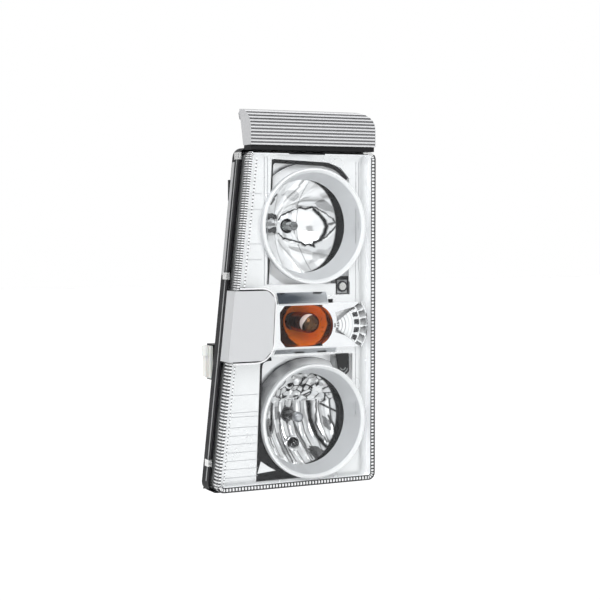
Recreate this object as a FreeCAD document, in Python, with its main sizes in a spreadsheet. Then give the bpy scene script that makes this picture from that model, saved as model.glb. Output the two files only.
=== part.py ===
import FreeCAD, Part
import math
import os
import re

import Sketcher

# Twin-reflector headlight of a truck or van, left side of the vehicle.
# X points right as seen from in front, the lamp shines towards -Y, and Z is up.
# The origin is the centre of the four threaded fixings on the rear face, y = 0 is
# the plane that they are tightened against, and the beams lie on x = 0.

SIZES = {
    # outer lens: a slanted left flank, a flat face, a rim that runs back to the housing
    "lens_front": -135,
    "lens_back": -108,
    "lens_top": 199.5,
    "lens_bottom": -187,
    "lens_right": 76,
    "left_top": -86.8,
    "left_bottom": -128.7,
    "lens_wall": 3,
    "corner": 9,
    "face_edge": 2.5,
    # housing
    "seal_thick": 2,
    "clip_thick": 0.8,
    "clip_deep": 9,
    "rim_front": -114,
    "rim_back": -96,
    "rim_wall": 2.5,
    "channel_gap": 0.4,
    "ledge": 8,
    "ledge_thick": 4,
    "wall": 2.5,
    "rear_face": -4,
    "left_inset": 47,
    "right_inset": 3,
    "end_inset": 7,
    "tower_outer": 36,
    "tower_bore": 33,
    "tower_back": 14,
    "lug_reach": 1.4,
    "recess_outer": 28,
    "recess_front": -62,
    "fixing_across": 68,
    "fixing_up": 330,
    "boss_radius": 8,
    "insert_radius": 5,
    "thread_radius": 3,
    "insert_depth": 14,
    # optics
    "high_up": 113,
    "low_up": -114,
    "pivot_back": -80,
    "bezel_front": -120,
    "bezel_wall": 2,
    "bezel_gap": 4,
    "ring_radius": 67,
    "ring_front": -128,
    "ring_back": -98,
    "throat": 54.3,
    "collar": 62.5,
    "shroud_radius": 73,
    "bowl_rim": 58,
    "bowl_front": -95,
    "bowl_wall": 2.5,
    "focal": 19,
    "bulb_hole": 9,
    "neck_radius": 20,
    "neck_back": -41,
    "pin_radius": 3,
    "trunnion_in": 54.5,
    "upright_in": 62.5,
    "upright_out": 66.5,
    "lever_reach": 25,
    "joint_gap": 0.2,
    # levelling motor and horizontal screw
    "motor_up": -49,
    "ball_radius": 5,
    "ball_gap": 0.4,
    "screw_across": 60.5,
    # turn lamp
    "turn_front": -126,
    "turn_top": 24,
    "turn_bottom": -28.2,
    # trims
    "trim_right": 75,
    "trim_bottom": 205,
    "trim_top": 246.5,
    "trim_skin": 2.5,
    "trim_foot": -115,
    "trim_back": -104.5,
    "rib_count": 11,
    "rib_depth": 1.1,
    "plate_top": 40.5,
    "plate_bottom": -39,
    "plate_thick": 2.5,
}

doc = FreeCAD.newDocument("headlight")
sheet = doc.addObject("Spreadsheet::Sheet", "Sizes")
for row, (alias, number) in enumerate(SIZES.items(), 1):
    sheet.set(f"A{row}", alias)
    sheet.set(f"B{row}", str(number))
    sheet.setAlias(f"B{row}", alias)
doc.recompute()

# axis: its origin plane, and whether that plane's normal points along (1) or against (-1) it
PLANES = {"x": ("YZ_Plane", 1), "y": ("XZ_Plane", -1), "z": ("XY_Plane", 1)}
BODIES = []
CUTS = []


# ---------------------------------------------------------------- drawing helpers

def bind(text):
    """An expression with the sheet's name before each of its sizes."""
    def spell(word):
        return "Sizes." + word.group() if word.group() in SIZES else word.group()
    return re.sub(r"[a-z][a-z_]*", spell, str(text))


def new_body(label):
    """The body of one sub-part, whose label names its file."""
    body = doc.addObject("PartDesign::Body", label)
    body.Label = label
    body.AllowCompound = True
    BODIES.append(body)
    return body


def circle(across, up, radius):
    return ("circle", across, up, radius)


def box(left, bottom, right, top):
    return [(left, top), (right, top), (right, bottom), (left, bottom)]


def drive(sketch, kind, places, start, expression):
    """Add one dimension to a sketch and bind it to the sheet."""
    index = sketch.addConstraint(Sketcher.Constraint(kind, *places, start))
    sketch.setExpression(f"Constraints[{index}]", bind(expression))


def draw_circle(sketch, across, up, radius):
    centre = FreeCAD.Vector(0, 0, 0)
    item = sketch.addGeometry(Part.Circle(centre, FreeCAD.Vector(0, 0, 1), 1.0), False)
    drive(sketch, "DistanceX", (-1, 1, item, 3), 0.0, across)
    drive(sketch, "DistanceY", (-1, 1, item, 3), 0.0, up)
    drive(sketch, "Radius", (item,), 1.0, radius)


def draw_polygon(sketch, points):
    """Lines through the points, first drawn on a small circle and then driven into place."""
    count = len(points)
    first = sketch.GeometryCount
    spots = []
    for index in range(count):
        angle = -2 * math.pi * index / count
        spots.append(FreeCAD.Vector(20 + 10 * math.cos(angle), 10 * math.sin(angle), 0))
    for index in range(count):
        sketch.addGeometry(Part.LineSegment(spots[index], spots[(index + 1) % count]), False)
    for index in range(count):
        following = first + (index + 1) % count
        sketch.addConstraint(Sketcher.Constraint("Coincident", first + index, 2, following, 1))
    for index, (across, up) in enumerate(points):
        drive(sketch, "DistanceX", (-1, 1, first + index, 1), spots[index].x, across)
        drive(sketch, "DistanceY", (-1, 1, first + index, 1), spots[index].y, up)


def new_sketch(body, axis, level, shapes):
    """A sketch of closed outlines on the plane where this axis has this level."""
    role, sign = PLANES[axis]
    plane = next(item for item in body.Origin.OriginFeatures if item.Role == role)
    sketch = body.newObject("Sketcher::SketchObject", f"{body.Name}_outline")
    sketch.AttachmentSupport = [(plane, "")]
    sketch.MapMode = "FlatFace"
    sketch.setExpression("AttachmentOffset.Base.z", bind(f"{sign} * ({level})"))
    for shape in shapes:
        if shape[0] == "circle":
            draw_circle(sketch, *shape[1:])
        else:
            draw_polygon(sketch, shape)
    return sketch


def extrude(body, axis, start, end, *shapes, cut=False):
    """Add or cut the outlines between two levels of an axis, start below end."""
    sketch = new_sketch(body, axis, start, shapes)
    kind = "Pocket" if cut else "Pad"
    feature = body.newObject(f"PartDesign::{kind}", f"{body.Name}_{kind}")
    feature.Profile = sketch
    feature.setExpression("Length", bind(f"({end}) - ({start})"))
    feature.Reversed = (PLANES[axis][1] < 0) != cut
    sketch.Visibility = False
    if cut:
        CUTS.append(feature)


def spin(body, across, up, profile, cut=False):
    """Add or cut a profile of (radius, y) turned about a line along Y."""
    sketch = new_sketch(body, "z", up, [profile])
    sketch.setExpression("AttachmentOffset.Base.x", bind(across))
    kind = "Groove" if cut else "Revolution"
    feature = body.newObject(f"PartDesign::{kind}", f"{body.Name}_{kind}")
    feature.Profile = sketch
    feature.ReferenceAxis = (sketch, ["V_Axis"])
    feature.Angle = 360
    if cut:
        CUTS.append(feature)


def ball(body, across, back, up, radius, cut=False):
    """Add or cut a ball."""
    kind = "SubtractiveSphere" if cut else "AdditiveSphere"
    feature = body.newObject(f"PartDesign::{kind}", f"{body.Name}_ball")
    feature.setExpression("Radius", bind(radius))
    feature.setExpression("Placement.Base.x", bind(across))
    feature.setExpression("Placement.Base.y", bind(back))
    feature.setExpression("Placement.Base.z", bind(up))
    if cut:
        CUTS.append(feature)


def loft(body, start, first, end, last, cut=False):
    """Add or cut a straight-sided loft between outlines at two levels of Y."""
    near = new_sketch(body, "y", start, [first])
    far = new_sketch(body, "y", end, [last])
    kind = "SubtractiveLoft" if cut else "AdditiveLoft"
    feature = body.newObject(f"PartDesign::{kind}", f"{body.Name}_loft")
    feature.Profile = near
    feature.Sections = [far]
    feature.Ruled = True
    if cut:
        CUTS.append(feature)


def direction(edge):
    """The unit direction of a straight edge, or None for a curved one."""
    if edge.Curve.TypeId != "Part::GeomLine":
        return None
    return edge.tangentAt(edge.FirstParameter)


def along(axis, edge):
    way = direction(edge)
    return way is not None and abs(getattr(way, axis)) > 0.999


def round_edges(body, radius, chosen):
    """Fillet the edges of the body so far that the test chooses."""
    doc.recompute()
    tip = body.Tip
    names = [f"Edge{i}" for i, edge in enumerate(tip.Shape.Edges, 1) if chosen(edge)]
    fillet = body.newObject("PartDesign::Fillet", f"{body.Name}_fillet")
    fillet.Base = (tip, names)
    fillet.setExpression("Radius", bind(radius))


def lens_outline(grow):
    """The lens outline, grown outwards by this much."""
    return [
        (f"left_top - ({grow})", f"lens_top + ({grow})"),
        (f"lens_right + ({grow})", f"lens_top + ({grow})"),
        (f"lens_right + ({grow})", f"lens_bottom - ({grow})"),
        (f"left_bottom - ({grow})", f"lens_bottom - ({grow})"),
    ]


def flank(up):
    """Where the slanted left flank of the lens is at this height."""
    slope = "(left_top - left_bottom) / (lens_top - lens_bottom)"
    return f"(left_bottom + (({up}) - lens_bottom) * {slope})"


def rear_outline(inwards):
    """The housing's outline at its rear wall."""
    return [
        (f"left_top + left_inset + ({inwards})", f"lens_top - end_inset - ({inwards})"),
        (f"lens_right - right_inset - ({inwards})", f"lens_top - end_inset - ({inwards})"),
        (f"lens_right - right_inset - ({inwards})", f"lens_bottom + end_inset + ({inwards})"),
        (f"left_bottom + left_inset + ({inwards})", f"lens_bottom + end_inset + ({inwards})"),
    ]


def arc_points(radius, start, end, count, across=0, up=0):
    """Points on an arc about a centre, angles in degrees."""
    points = []
    for step in range(count):
        angle = math.radians(start + (end - start) * step / (count - 1))
        points.append((f"{across} + ({radius}) * {math.cos(angle):.5f}",
                       f"{up} + ({radius}) * {math.sin(angle):.5f}"))
    return points


# ---------------------------------------------------------------- lens, seal and trims

def build_outer_lens():
    lens = new_body("outer_lens")
    extrude(lens, "y", "lens_front", "lens_back", lens_outline("0"))
    round_edges(lens, "corner", lambda edge: along("y", edge))
    doc.recompute()
    tip = lens.Tip
    back = [f"Face{i}" for i, face in enumerate(tip.Shape.Faces, 1)
            if abs(face.CenterOfMass.y - SIZES["lens_back"]) < 0.01]
    shell = lens.newObject("PartDesign::Thickness", "outer_lens_shell")
    shell.Base = (tip, back)
    shell.setExpression("Value", bind("lens_wall"))
    shell.Reversed = True
    front = SIZES["lens_front"]
    round_edges(lens, "face_edge", lambda edge: abs(edge.CenterOfMass.y - front) < 0.01)


def build_lens_seal():
    seal = new_body("lens_seal")
    extrude(seal, "y", "lens_back", "lens_back + seal_thick", lens_outline("0"))
    round_edges(seal, "corner", lambda edge: along("y", edge))
    extrude(seal, "y", "lens_back", "lens_back + seal_thick", lens_outline("-lens_wall"), cut=True)


CLIP_UP = (193, 57, -155)


def build_lens_clips():
    """Spring clips down each flank, hooked over the rim and into slots in its side."""
    clips = new_body("lens_clips")
    front = "rim_front - clip_thick - 0.1"
    back = "rim_front + clip_deep"
    right = "(lens_right + rim_wall + channel_gap)"
    for up in CLIP_UP:
        low = up - 4
        high = up + 4
        left = f"({flank(up)} - rim_wall - channel_gap)"
        for level, inner in ((front, "channel_gap + rim_wall - clip_thick"), (back, "1")):
            end = f"{level} + clip_thick"
            extrude(clips, "y", level, end, box(f"{left} - 1.2", low, f"{left} + {inner}", high))
            extrude(clips, "y", level, end, box(f"{right} - ({inner})", low, f"{right} + 0.8", high))
        end = f"{back} + clip_thick"
        extrude(clips, "y", front, end, box(f"{left} - 2", low, f"{left} - 1.2", high))
        extrude(clips, "y", front, end, box(f"{right} + 0.1", low, f"{right} + 0.9", high))


def clip_slots():
    """The slots in the rim's sides that the lens clips hook into."""
    right = "(lens_right + rim_wall + channel_gap)"
    slots = []
    for up in CLIP_UP:
        left = f"({flank(up)} - rim_wall - channel_gap)"
        slots.append(box(f"{left} - 1", up - 4.2, f"{left} + 1.2", up + 4.2))
        slots.append(box(f"{right} - 1.2", up - 4.2, f"{right} + 1", up + 4.2))
    return slots


TRIM_SCREWS = (-50, 40)


TRIM_BREAK = 0.42     # share of the ribbed trim's height where its upright face starts to roll back
TRIM_ROLL = 28        # how far back its face has rolled at the top


def trim_front(fraction):
    """The ribbed trim's face as a depth, from its foot (0) to its top (1)."""
    climb = max(0, (fraction - TRIM_BREAK) / (1 - TRIM_BREAK))
    roll = TRIM_ROLL * (1 - math.sqrt(1 - climb ** 2))
    return f"lens_front - 0.8 + {roll:.4f}"


def build_ribbed_trim():
    """A hollow cap above the lens with horizontal ribs, its face rolled back towards the top."""
    trim = new_body("ribbed_trim")
    height = "(trim_top - trim_bottom)"
    face = []
    ribs = SIZES["rib_count"]
    for rib in range(ribs):
        for share, depth in ((0.06, 0), (0.5, 0), (0.62, 1), (0.94, 1)):
            fraction = (rib + share) / ribs
            face.append((f"{trim_front(fraction)} + rib_depth * {depth}",
                         f"trim_bottom + {height} * {fraction:.5f}"))
    outline = [("trim_foot", "trim_bottom"), ("lens_front", "trim_bottom"), *face]
    outline += [(f"{trim_front(1)} + 1", "trim_top"), ("trim_back", "trim_top")]
    extrude(trim, "x", "left_top + 0.8", "trim_right", outline)
    ear = [
        ("trim_back - 0.5", "trim_top - 2"),
        ("trim_back + 3", "trim_top - 5"),
        ("trim_back - 0.5", "trim_top - 12"),
    ]
    extrude(trim, "x", "left_top + 0.8", "left_top + 0.8 + trim_skin", ear)
    corner = [("trim_right", "trim_top"), *arc_points("16", 0, 90, 7, "trim_right - 16", "trim_top - 16")]
    extrude(trim, "y", "lens_front - 4", "trim_back + 1", corner, cut=True)
    inner = []
    for step in range(7):
        fraction = 0.06 + 0.72 * step / 6
        inner.append((f"{trim_front(fraction)} + trim_skin + rib_depth",
                      f"trim_bottom + {height} * {fraction:.5f}"))
    inner += [("trim_back + 1", inner[-1][1]), ("trim_back + 1", inner[0][1])]
    extrude(trim, "x", "left_top + 0.8 + trim_skin", "trim_right - 13", inner, cut=True)
    bosses = [circle(across, "trim_bottom + 18", "4") for across in TRIM_SCREWS]
    holes = [circle(across, "trim_bottom + 18", "1.8") for across in TRIM_SCREWS]
    extrude(trim, "y", "lens_front + 1.5", "lens_front + 30.5", *bosses)
    extrude(trim, "y", "lens_front + 17", "lens_front + 30.5", *holes, cut=True)


def build_trim_seal():
    """The dark strip in the step between the lens and the ribbed trim."""
    seal = new_body("trim_seal")
    extrude(seal, "y", "lens_front + 1.5", "rim_front - 0.5",
            box("left_top + 2", "lens_top + 0.1", "trim_right - 1", "trim_bottom - 0.1"))


def build_trim_screws():
    screws = new_body("trim_screws")
    for across in TRIM_SCREWS:
        extrude(screws, "y", "lens_front + 33", "lens_front + 35.2", circle(across, "trim_bottom + 18", "4"))
        extrude(screws, "y", "lens_front + 18", "lens_front + 33", circle(across, "trim_bottom + 18", "1.7"))


def build_trim_plate():
    """The satin plate over the left flank, wrapped round the lens corner."""
    plate = new_body("trim_plate")
    top = "plate_top"
    bottom = "plate_bottom"
    outline = [
        (f"{flank(top)} - plate_thick", top),
        ("left_bottom + 63", top),
        ("left_bottom + 72", f"{top} - 9"),
        ("left_bottom + 69", f"{bottom} + 12"),
        ("left_bottom + 57", bottom),
        (f"{flank(bottom)} - plate_thick", bottom),
    ]
    extrude(plate, "y", "lens_front - plate_thick", "lens_front", outline)
    side = [
        (f"{flank(top)} - plate_thick", top),
        (f"{flank(top)} - 0.1", top),
        (f"{flank(bottom)} - 0.1", bottom),
        (f"{flank(bottom)} - plate_thick", bottom),
    ]
    extrude(plate, "y", "lens_front", "rim_front - 1", side)

    def is_corner(edge):
        return along("y", edge) and edge.CenterOfMass.x > SIZES["left_bottom"] + 50
    round_edges(plate, "8", is_corner)


# ---------------------------------------------------------------- housing

def fixing_spots():
    return [(f"{sx} * fixing_across / 2", f"{sz} * fixing_up / 2") for sx in (-1, 1) for sz in (-1, 1)]


GUIDE_FACE = "(left_bottom + 28)"


def build_housing():
    housing = new_body("housing")
    channel_floor = "(lens_back + seal_thick)"
    extrude(housing, "y", "rim_front", "rim_back", lens_outline("channel_gap + rim_wall"))
    round_edges(housing, "corner + rim_wall", lambda edge: along("y", edge))
    loft(housing, "rim_back", lens_outline("0"), "rear_face", rear_outline("0"))
    # towers of the two bulb caps, with the bayonet lugs that the caps turn under
    for up in ("high_up", "low_up"):
        extrude(housing, "y", "rear_face - 1", "tower_back", circle(0, up, "tower_outer"))
        for start in (0, 120, 240):
            lug = arc_points("tower_outer - 0.5", start, start + 24, 4, 0, up)
            lug += arc_points("tower_outer + lug_reach", start + 24, start, 4, 0, up)
            extrude(housing, "y", "7", "10", lug)
    # bosses of the fixings, the horizontal screw, the side guide and the upper tab
    bosses = [circle(across, up, "boss_radius") for across, up in fixing_spots()]
    extrude(housing, "y", "rear_face - insert_depth - 2", "0", *bosses)
    extrude(housing, "y", "rear_face - 1", "0", circle("screw_across", 0, "7"))
    extrude(housing, "y", "-62", "-44", box(GUIDE_FACE, -67, f"{GUIDE_FACE} + 18", -25))
    extrude(housing, "y", "-62", "-58", box(-79.5, 143, -68, 167))
    # a plate above the top wall that carries the ribbed trim
    extrude(housing, "y", "lens_front + 30.5", "lens_front + 33",
            box(-70, "lens_top - 1", 58, "trim_top - 7"))
    screw_holes = [circle(across, "trim_bottom + 18", "2") for across in TRIM_SCREWS]
    extrude(housing, "y", "lens_front + 30.5", "lens_front + 33", *screw_holes, cut=True)
    slot_start = "rim_front + clip_deep - 0.1"
    extrude(housing, "y", slot_start, f"{slot_start} + clip_thick + 0.2", *clip_slots(), cut=True)
    # the inside
    extrude(housing, "y", "rim_front", channel_floor, lens_outline("channel_gap"), cut=True)
    extrude(housing, "y", channel_floor, "lens_back + seal_thick + ledge_thick",
            lens_outline("-ledge"), cut=True)
    extrude(housing, "y", "lens_back + seal_thick + ledge_thick", "rim_back",
            lens_outline("-3.5"), cut=True)
    loft(housing, "rim_back", lens_outline("-wall"), "rear_face - wall", rear_outline("wall"), cut=True)
    for up in ("high_up", "low_up"):
        extrude(housing, "y", "rear_face - wall - 1", "tower_back", circle(0, up, "tower_bore"), cut=True)
    # the fixing bosses again, as far inside as their inserts reach
    extrude(housing, "y", "rear_face - insert_depth - 2", "rear_face", *bosses)
    inserts = [circle(across, up, "insert_radius") for across, up in fixing_spots()]
    extrude(housing, "y", "-insert_depth", "0", *inserts, cut=True)
    # the recess that the turn lamp's holder is reached through
    extrude(housing, "y", "recess_front", "rear_face", circle(0, 0, "recess_outer"))
    extrude(housing, "y", "recess_front + wall", "rear_face", circle(0, 0, "recess_outer - wall"), cut=True)
    extrude(housing, "y", "recess_front", "recess_front + wall", circle(0, 0, "15.8"), cut=True)
    # holes for the levelling motor, the horizontal screw, the connector and the vents
    extrude(housing, "y", "rear_face - wall", "rear_face", circle(0, "motor_up", "12.5"), cut=True)
    extrude(housing, "y", "rear_face - wall", "0", circle("screw_across", 0, "3.2"), cut=True)
    extrude(housing, "y", "rear_face - wall", "rear_face", box(-51, -58, -29, -42), cut=True)
    vents = [circle(48, 50, "3"), circle(48, -60, "3")]
    extrude(housing, "y", "rear_face - wall", "rear_face", *vents, cut=True)
    # bearings of the carrier, above and below
    block = box(-10, "pivot_back - 9", 10, "pivot_back + 9")
    extrude(housing, "z", "lens_top - 11", "lens_top - 3", block)
    extrude(housing, "z", "lens_bottom + 1", "lens_bottom + 7", block)
    extrude(housing, "z", "lens_top - 11", "lens_top - 4", circle(0, "pivot_back", "4 + joint_gap"), cut=True)
    extrude(housing, "z", "lens_bottom + 2", "lens_bottom + 7", circle(0, "pivot_back", "4 + joint_gap"),
            cut=True)


def build_fixing_inserts():
    inserts = new_body("fixing_inserts")
    for across, up in fixing_spots():
        extrude(inserts, "y", "-insert_depth", "0", circle(across, up, "insert_radius"))
    for across, up in fixing_spots():
        extrude(inserts, "y", "-insert_depth", "0", circle(across, up, "thread_radius"), cut=True)


def build_cap(label, up):
    """A bayonet cap: disc, skirt, three lugs under the tower's lugs, and a grip bar."""
    cap = new_body(label)
    skirt = "tower_outer + lug_reach + 0.4"
    extrude(cap, "y", "tower_back + 1", "tower_back + 3.5", circle(0, up, f"{skirt} + 2.5"))
    extrude(cap, "y", "1.5", "tower_back + 1", circle(0, up, f"{skirt} + 2.5"), circle(0, up, skirt))
    for start in (2, 122, 242):
        lug = arc_points("tower_outer + 0.4", start, start + 20, 4, 0, up)
        lug += arc_points("tower_outer + lug_reach + 1", start + 20, start, 4, 0, up)
        extrude(cap, "y", "2", "6.6", lug)
    extrude(cap, "y", "tower_back + 3.5", "tower_back + 12", box(-30, f"{up} - 3.5", 30, f"{up} + 3.5"))


def build_cap_seals():
    seals = new_body("cap_seals")
    for up in ("high_up", "low_up"):
        extrude(seals, "y", "tower_back", "tower_back + 0.9",
                circle(0, up, "tower_outer"), circle(0, up, "tower_bore"))


def build_connector():
    """The main socket: a shroud with a flange on the rear wall, and its blades."""
    socket = new_body("main_connector")
    extrude(socket, "y", "rear_face", "-1.5", box(-55, -62, -25, -38))
    extrude(socket, "y", "-1.5", "14", box(-51, -58, -29, -42))
    extrude(socket, "y", "rear_face - 8", "rear_face", box(-50.8, -57.8, -29.2, -42.2))
    extrude(socket, "y", "-1", "14", box(-49, -56, -31, -44), cut=True)
    pins = new_body("connector_blades")
    for row in (-53, -47):
        for column in (-46.5, -42.2, -37.8, -33.5):
            extrude(pins, "y", "-1", "9", box(column - 1.2, row - 0.4, column + 1.2, row + 0.4))


def build_vents():
    vents = new_body("breather_caps")
    for up in (50, -60):
        extrude(vents, "y", "rear_face", "rear_face + 9", circle(48, up, "6"))
        extrude(vents, "y", "rear_face - wall", "rear_face", circle(48, up, "2.9"))


def build_side_guide():
    """A pale nylon guide on the left flank that steers the lamp into its opening."""
    guide = new_body("side_guide")
    extrude(guide, "y", "-61", "-45", box(f"{GUIDE_FACE} - 3", -65, GUIDE_FACE, -27))
    extrude(guide, "z", -39, -27, circle(f"{GUIDE_FACE} - 5", -53, "5"))
    extrude(guide, "z", -63, -39, box(f"{GUIDE_FACE} - 7.4", -57, f"{GUIDE_FACE} - 2", -49))
    extrude(guide, "z", -43, -27, circle(f"{GUIDE_FACE} - 5", -53, "2.2"), cut=True)


# ---------------------------------------------------------------- bezel, rings and shrouds

UPPER_WINDOW = [(-52.5, 190), (20, 187), (37, 181), (48, 169), (48, 46), (-59, 46)]
LOWER_WINDOW = [(-67.5, -42), (-60, -37), (53, -37), (53, -114), (0, -180), (-73, -180)]
POSTS = ((40, 42.5), (39.5, -49))


def build_inner_bezel():
    bezel = new_body("inner_bezel")
    extrude(bezel, "y", "bezel_front", "bezel_front + bezel_wall", lens_outline("-bezel_gap"))
    extrude(bezel, "y", "bezel_front + bezel_wall", "lens_back + seal_thick - 0.1",
            lens_outline("-bezel_gap"))
    round_edges(bezel, "corner - bezel_gap", lambda edge: along("y", edge))
    extrude(bezel, "y", "bezel_front + bezel_wall", "lens_back + seal_thick - 0.1",
            lens_outline("-bezel_gap - 1.6"), cut=True)
    through = ("bezel_front", "bezel_front + bezel_wall")
    for window in (UPPER_WINDOW, LOWER_WINDOW):
        extrude(bezel, "y", *through, window, cut=True)
    for up in ("high_up", "low_up"):
        extrude(bezel, "y", *through, circle(0, up, "collar + 0.2"), cut=True)
    extrude(bezel, "y", *through, box(-50, -30, 27, 28), cut=True)
    extrude(bezel, "y", *through, box(30.5, 33, 49.5, 48), cut=True)


def build_ring(label, up):
    """A satin ring: rolled front edge, cone down to the throat, and a locating collar."""
    ring = new_body(label)
    profile = [
        ("throat", "ring_back"),
        ("ring_radius - 5.2", "ring_front + 4"),
        ("ring_radius - 4.7", "ring_front + 3.4"),
        ("ring_radius - 1.9", "ring_front"),
        ("ring_radius - 0.9", "ring_front + 0.2"),
        ("ring_radius", "ring_front + 1.4"),
        ("ring_radius", "bezel_front"),
        ("collar", "bezel_front"),
        ("collar", "bezel_front + bezel_wall"),
        ("collar - 1.5", "bezel_front + bezel_wall + 0.6"),
        ("throat + 1.8", "ring_back"),
    ]
    spin(ring, 0, up, profile)


def build_shroud(label, up):
    """The chromed dish behind the bezel, around each ring."""
    shroud = new_body(label)
    front = "(bezel_front + bezel_wall)"
    profile = [
        ("collar + 1", front),
        ("collar + 2.6", front),
        ("shroud_radius", "lens_back + 0.8"),
        ("shroud_radius", "lens_back + 1.6"),
        ("shroud_radius - 1.6", "lens_back + 1.6"),
    ]
    spin(shroud, 0, up, profile)
    trimmed = [box("lens_right - 7", f"{up} - 80", 90, f"{up} + 80")]
    if up == "low_up":
        trimmed.append(box(-90, f"{up} - 80", 90, "lens_bottom + 7"))
        trimmed.append(box(30, -60, 90, -30))
    else:
        trimmed.append(box(30, 25, 90, 52))
    for outline in trimmed:
        extrude(shroud, "y", front, "lens_back + 3", outline, cut=True)


def build_bezel_screws():
    """Round-headed screws in square posts beside the rings."""
    screws = new_body("bezel_screws")
    posts = new_body("screw_posts")
    back = "(bezel_front + bezel_wall)"
    for across, up in POSTS:
        extrude(posts, "y", back, "lens_back + 14", box(across - 8.5, up - 8.5, across + 11, up + 8.5))
        extrude(screws, "y", f"{back} - 2.2", back, circle(across, up, "4.5"))
    for across, up in POSTS:
        extrude(posts, "y", back, f"{back} + 8", circle(across, up, "1.7"), cut=True)
        extrude(screws, "y", back, f"{back} + 8", circle(across, up, "1.6"))


# ---------------------------------------------------------------- turn lamp

APERTURE = [(-45.5, 14), (-39, 22), (10, 22), (10, -26), (-38, -26), (-44.5, -18)]


def build_turn_frame():
    frame = new_body("turn_frame")
    back = "bezel_front - 0.1"
    extrude(frame, "y", "turn_front", back,
            [(-49, "turn_top"), (57, "turn_top"), (69, 1), (57, "turn_bottom"), (-53, "turn_bottom")])
    extrude(frame, "x", -47, 18,
            [("turn_front", "turn_top - 1"), (back, "turn_top + 13"), (back, "turn_top - 1")])
    extrude(frame, "x", -50, 30,
            [("turn_front", "turn_bottom + 1"), (back, "turn_bottom + 1"), (back, "turn_bottom - 6")])
    extrude(frame, "y", "turn_front", back, APERTURE, cut=True)
    extrude(frame, "y", "turn_front", back, circle(0, -2, "24"), cut=True)
    fan = arc_points("29", -24, 24, 5, 0, 1) + arc_points("61", 18, -20, 7, 0, 1)
    extrude(frame, "y", "turn_front", back, fan, cut=True)


def build_fan_reflector():
    fan = new_body("fan_reflector")
    plate = arc_points("29.4", -23.4, 23.4, 5, 0, 1) + arc_points("60.6", 17.6, -19.6, 7, 0, 1)
    extrude(fan, "y", "bezel_front - 3.4", "bezel_front - 0.4", plate)


def build_turn_bowl():
    """The amber bowl: a wide mouth, a round bowl behind it, and a neck on the recess."""
    bowl = new_body("turn_bowl")
    mouth = "bezel_front + 0.1"
    wide = [(-48, 15), (-41, 24.5), (25, 24.5), (25, -28.5), (-40, -28.5), (-47, -19)]
    extrude(bowl, "y", mouth, "-100", wide)
    spin(bowl, 0, 0, [(0, "-101"), (27, "-101"), (24, "-86"), (19, "-74"), (19, "recess_front - 0.1"),
                      (0, "recess_front - 0.1")])
    extrude(bowl, "y", mouth, "-102", APERTURE, cut=True)
    inner = [(0, mouth), (24, mouth), (24, "-101"), (21.5, "-88"), (16.2, "-74"), (16.2, "recess_front"),
             (0, "recess_front")]
    spin(bowl, 0, 0, inner, cut=True)


def build_turn_bulb():
    glass = new_body("turn_bulb_glass")
    ball(glass, 0, "-111", 0, "12")
    extrude(glass, "y", "-111", "-84", circle(0, 0, "12"))
    spin(glass, 0, 0, [(0, "-84"), (12, "-84"), (7.4, "-78"), (0, "-78")])
    base = new_body("turn_bulb_base")
    extrude(base, "y", "-78", "recess_front + 2", circle(0, 0, "7.5"))
    for side in (-1, 1):
        extrude(base, "x", min(7 * side, 9.4 * side), max(7 * side, 9.4 * side), circle("-68", 0, "1"))


def build_turn_holder():
    """Twist-lock holder: neck, flange against the recess, bayonet lugs, and a grip."""
    holder = new_body("turn_holder")
    extrude(holder, "y", "recess_front - 4", "recess_front + wall", circle(0, 0, "15.3"))
    extrude(holder, "y", "recess_front + wall + 1.3", "recess_front + 8", circle(0, 0, "21"))
    extrude(holder, "y", "recess_front + wall", "recess_front + wall + 1.3", circle(0, 0, "15.3"))
    extrude(holder, "y", "recess_front + 8", "-34", circle(0, 0, "13"))
    extrude(holder, "y", "-46", "-22", box(-17, -3, 17, 3))
    extrude(holder, "y", "recess_front - 4", "recess_front + 2", circle(0, 0, "10"), cut=True)
    seal = new_body("turn_holder_seal")
    extrude(seal, "y", "recess_front + wall", "recess_front + wall + 1.2",
            circle(0, 0, "20"), circle(0, 0, "15.6"))


# ---------------------------------------------------------------- reflectors and bulbs

def paraboloid(up):
    """The bare bowl of a reflector, turned from a band between two parabola arcs."""
    rim, hole, wall, focal = (SIZES[name] for name in ("bowl_rim", "bulb_hole", "bowl_wall", "focal"))
    apex = SIZES["bowl_front"] + rim ** 2 / (4 * focal)

    def arc(shift, first, last):
        spots = []
        for step in range(13):
            radius = first + (last - first) * step / 12
            spots.append(FreeCAD.Vector(radius, apex + shift - radius ** 2 / (4 * focal), up))
        curve = Part.BSplineCurve()
        curve.interpolate(spots)
        return curve.toShape(), spots[0], spots[-1]

    inner, inner_hole, inner_rim = arc(0, hole, rim)
    outer, outer_rim, outer_hole = arc(wall, rim + wall, hole)
    rim_edge = Part.LineSegment(inner_rim, outer_rim).toShape()
    hole_edge = Part.LineSegment(outer_hole, inner_hole).toShape()
    band = Part.Face(Part.Wire([inner, rim_edge, outer, hole_edge]))
    return band.revolve(FreeCAD.Vector(0, 0, up), FreeCAD.Vector(0, 1, 0), 360)


POSITION_LAMP = (0, -33.5)


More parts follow.
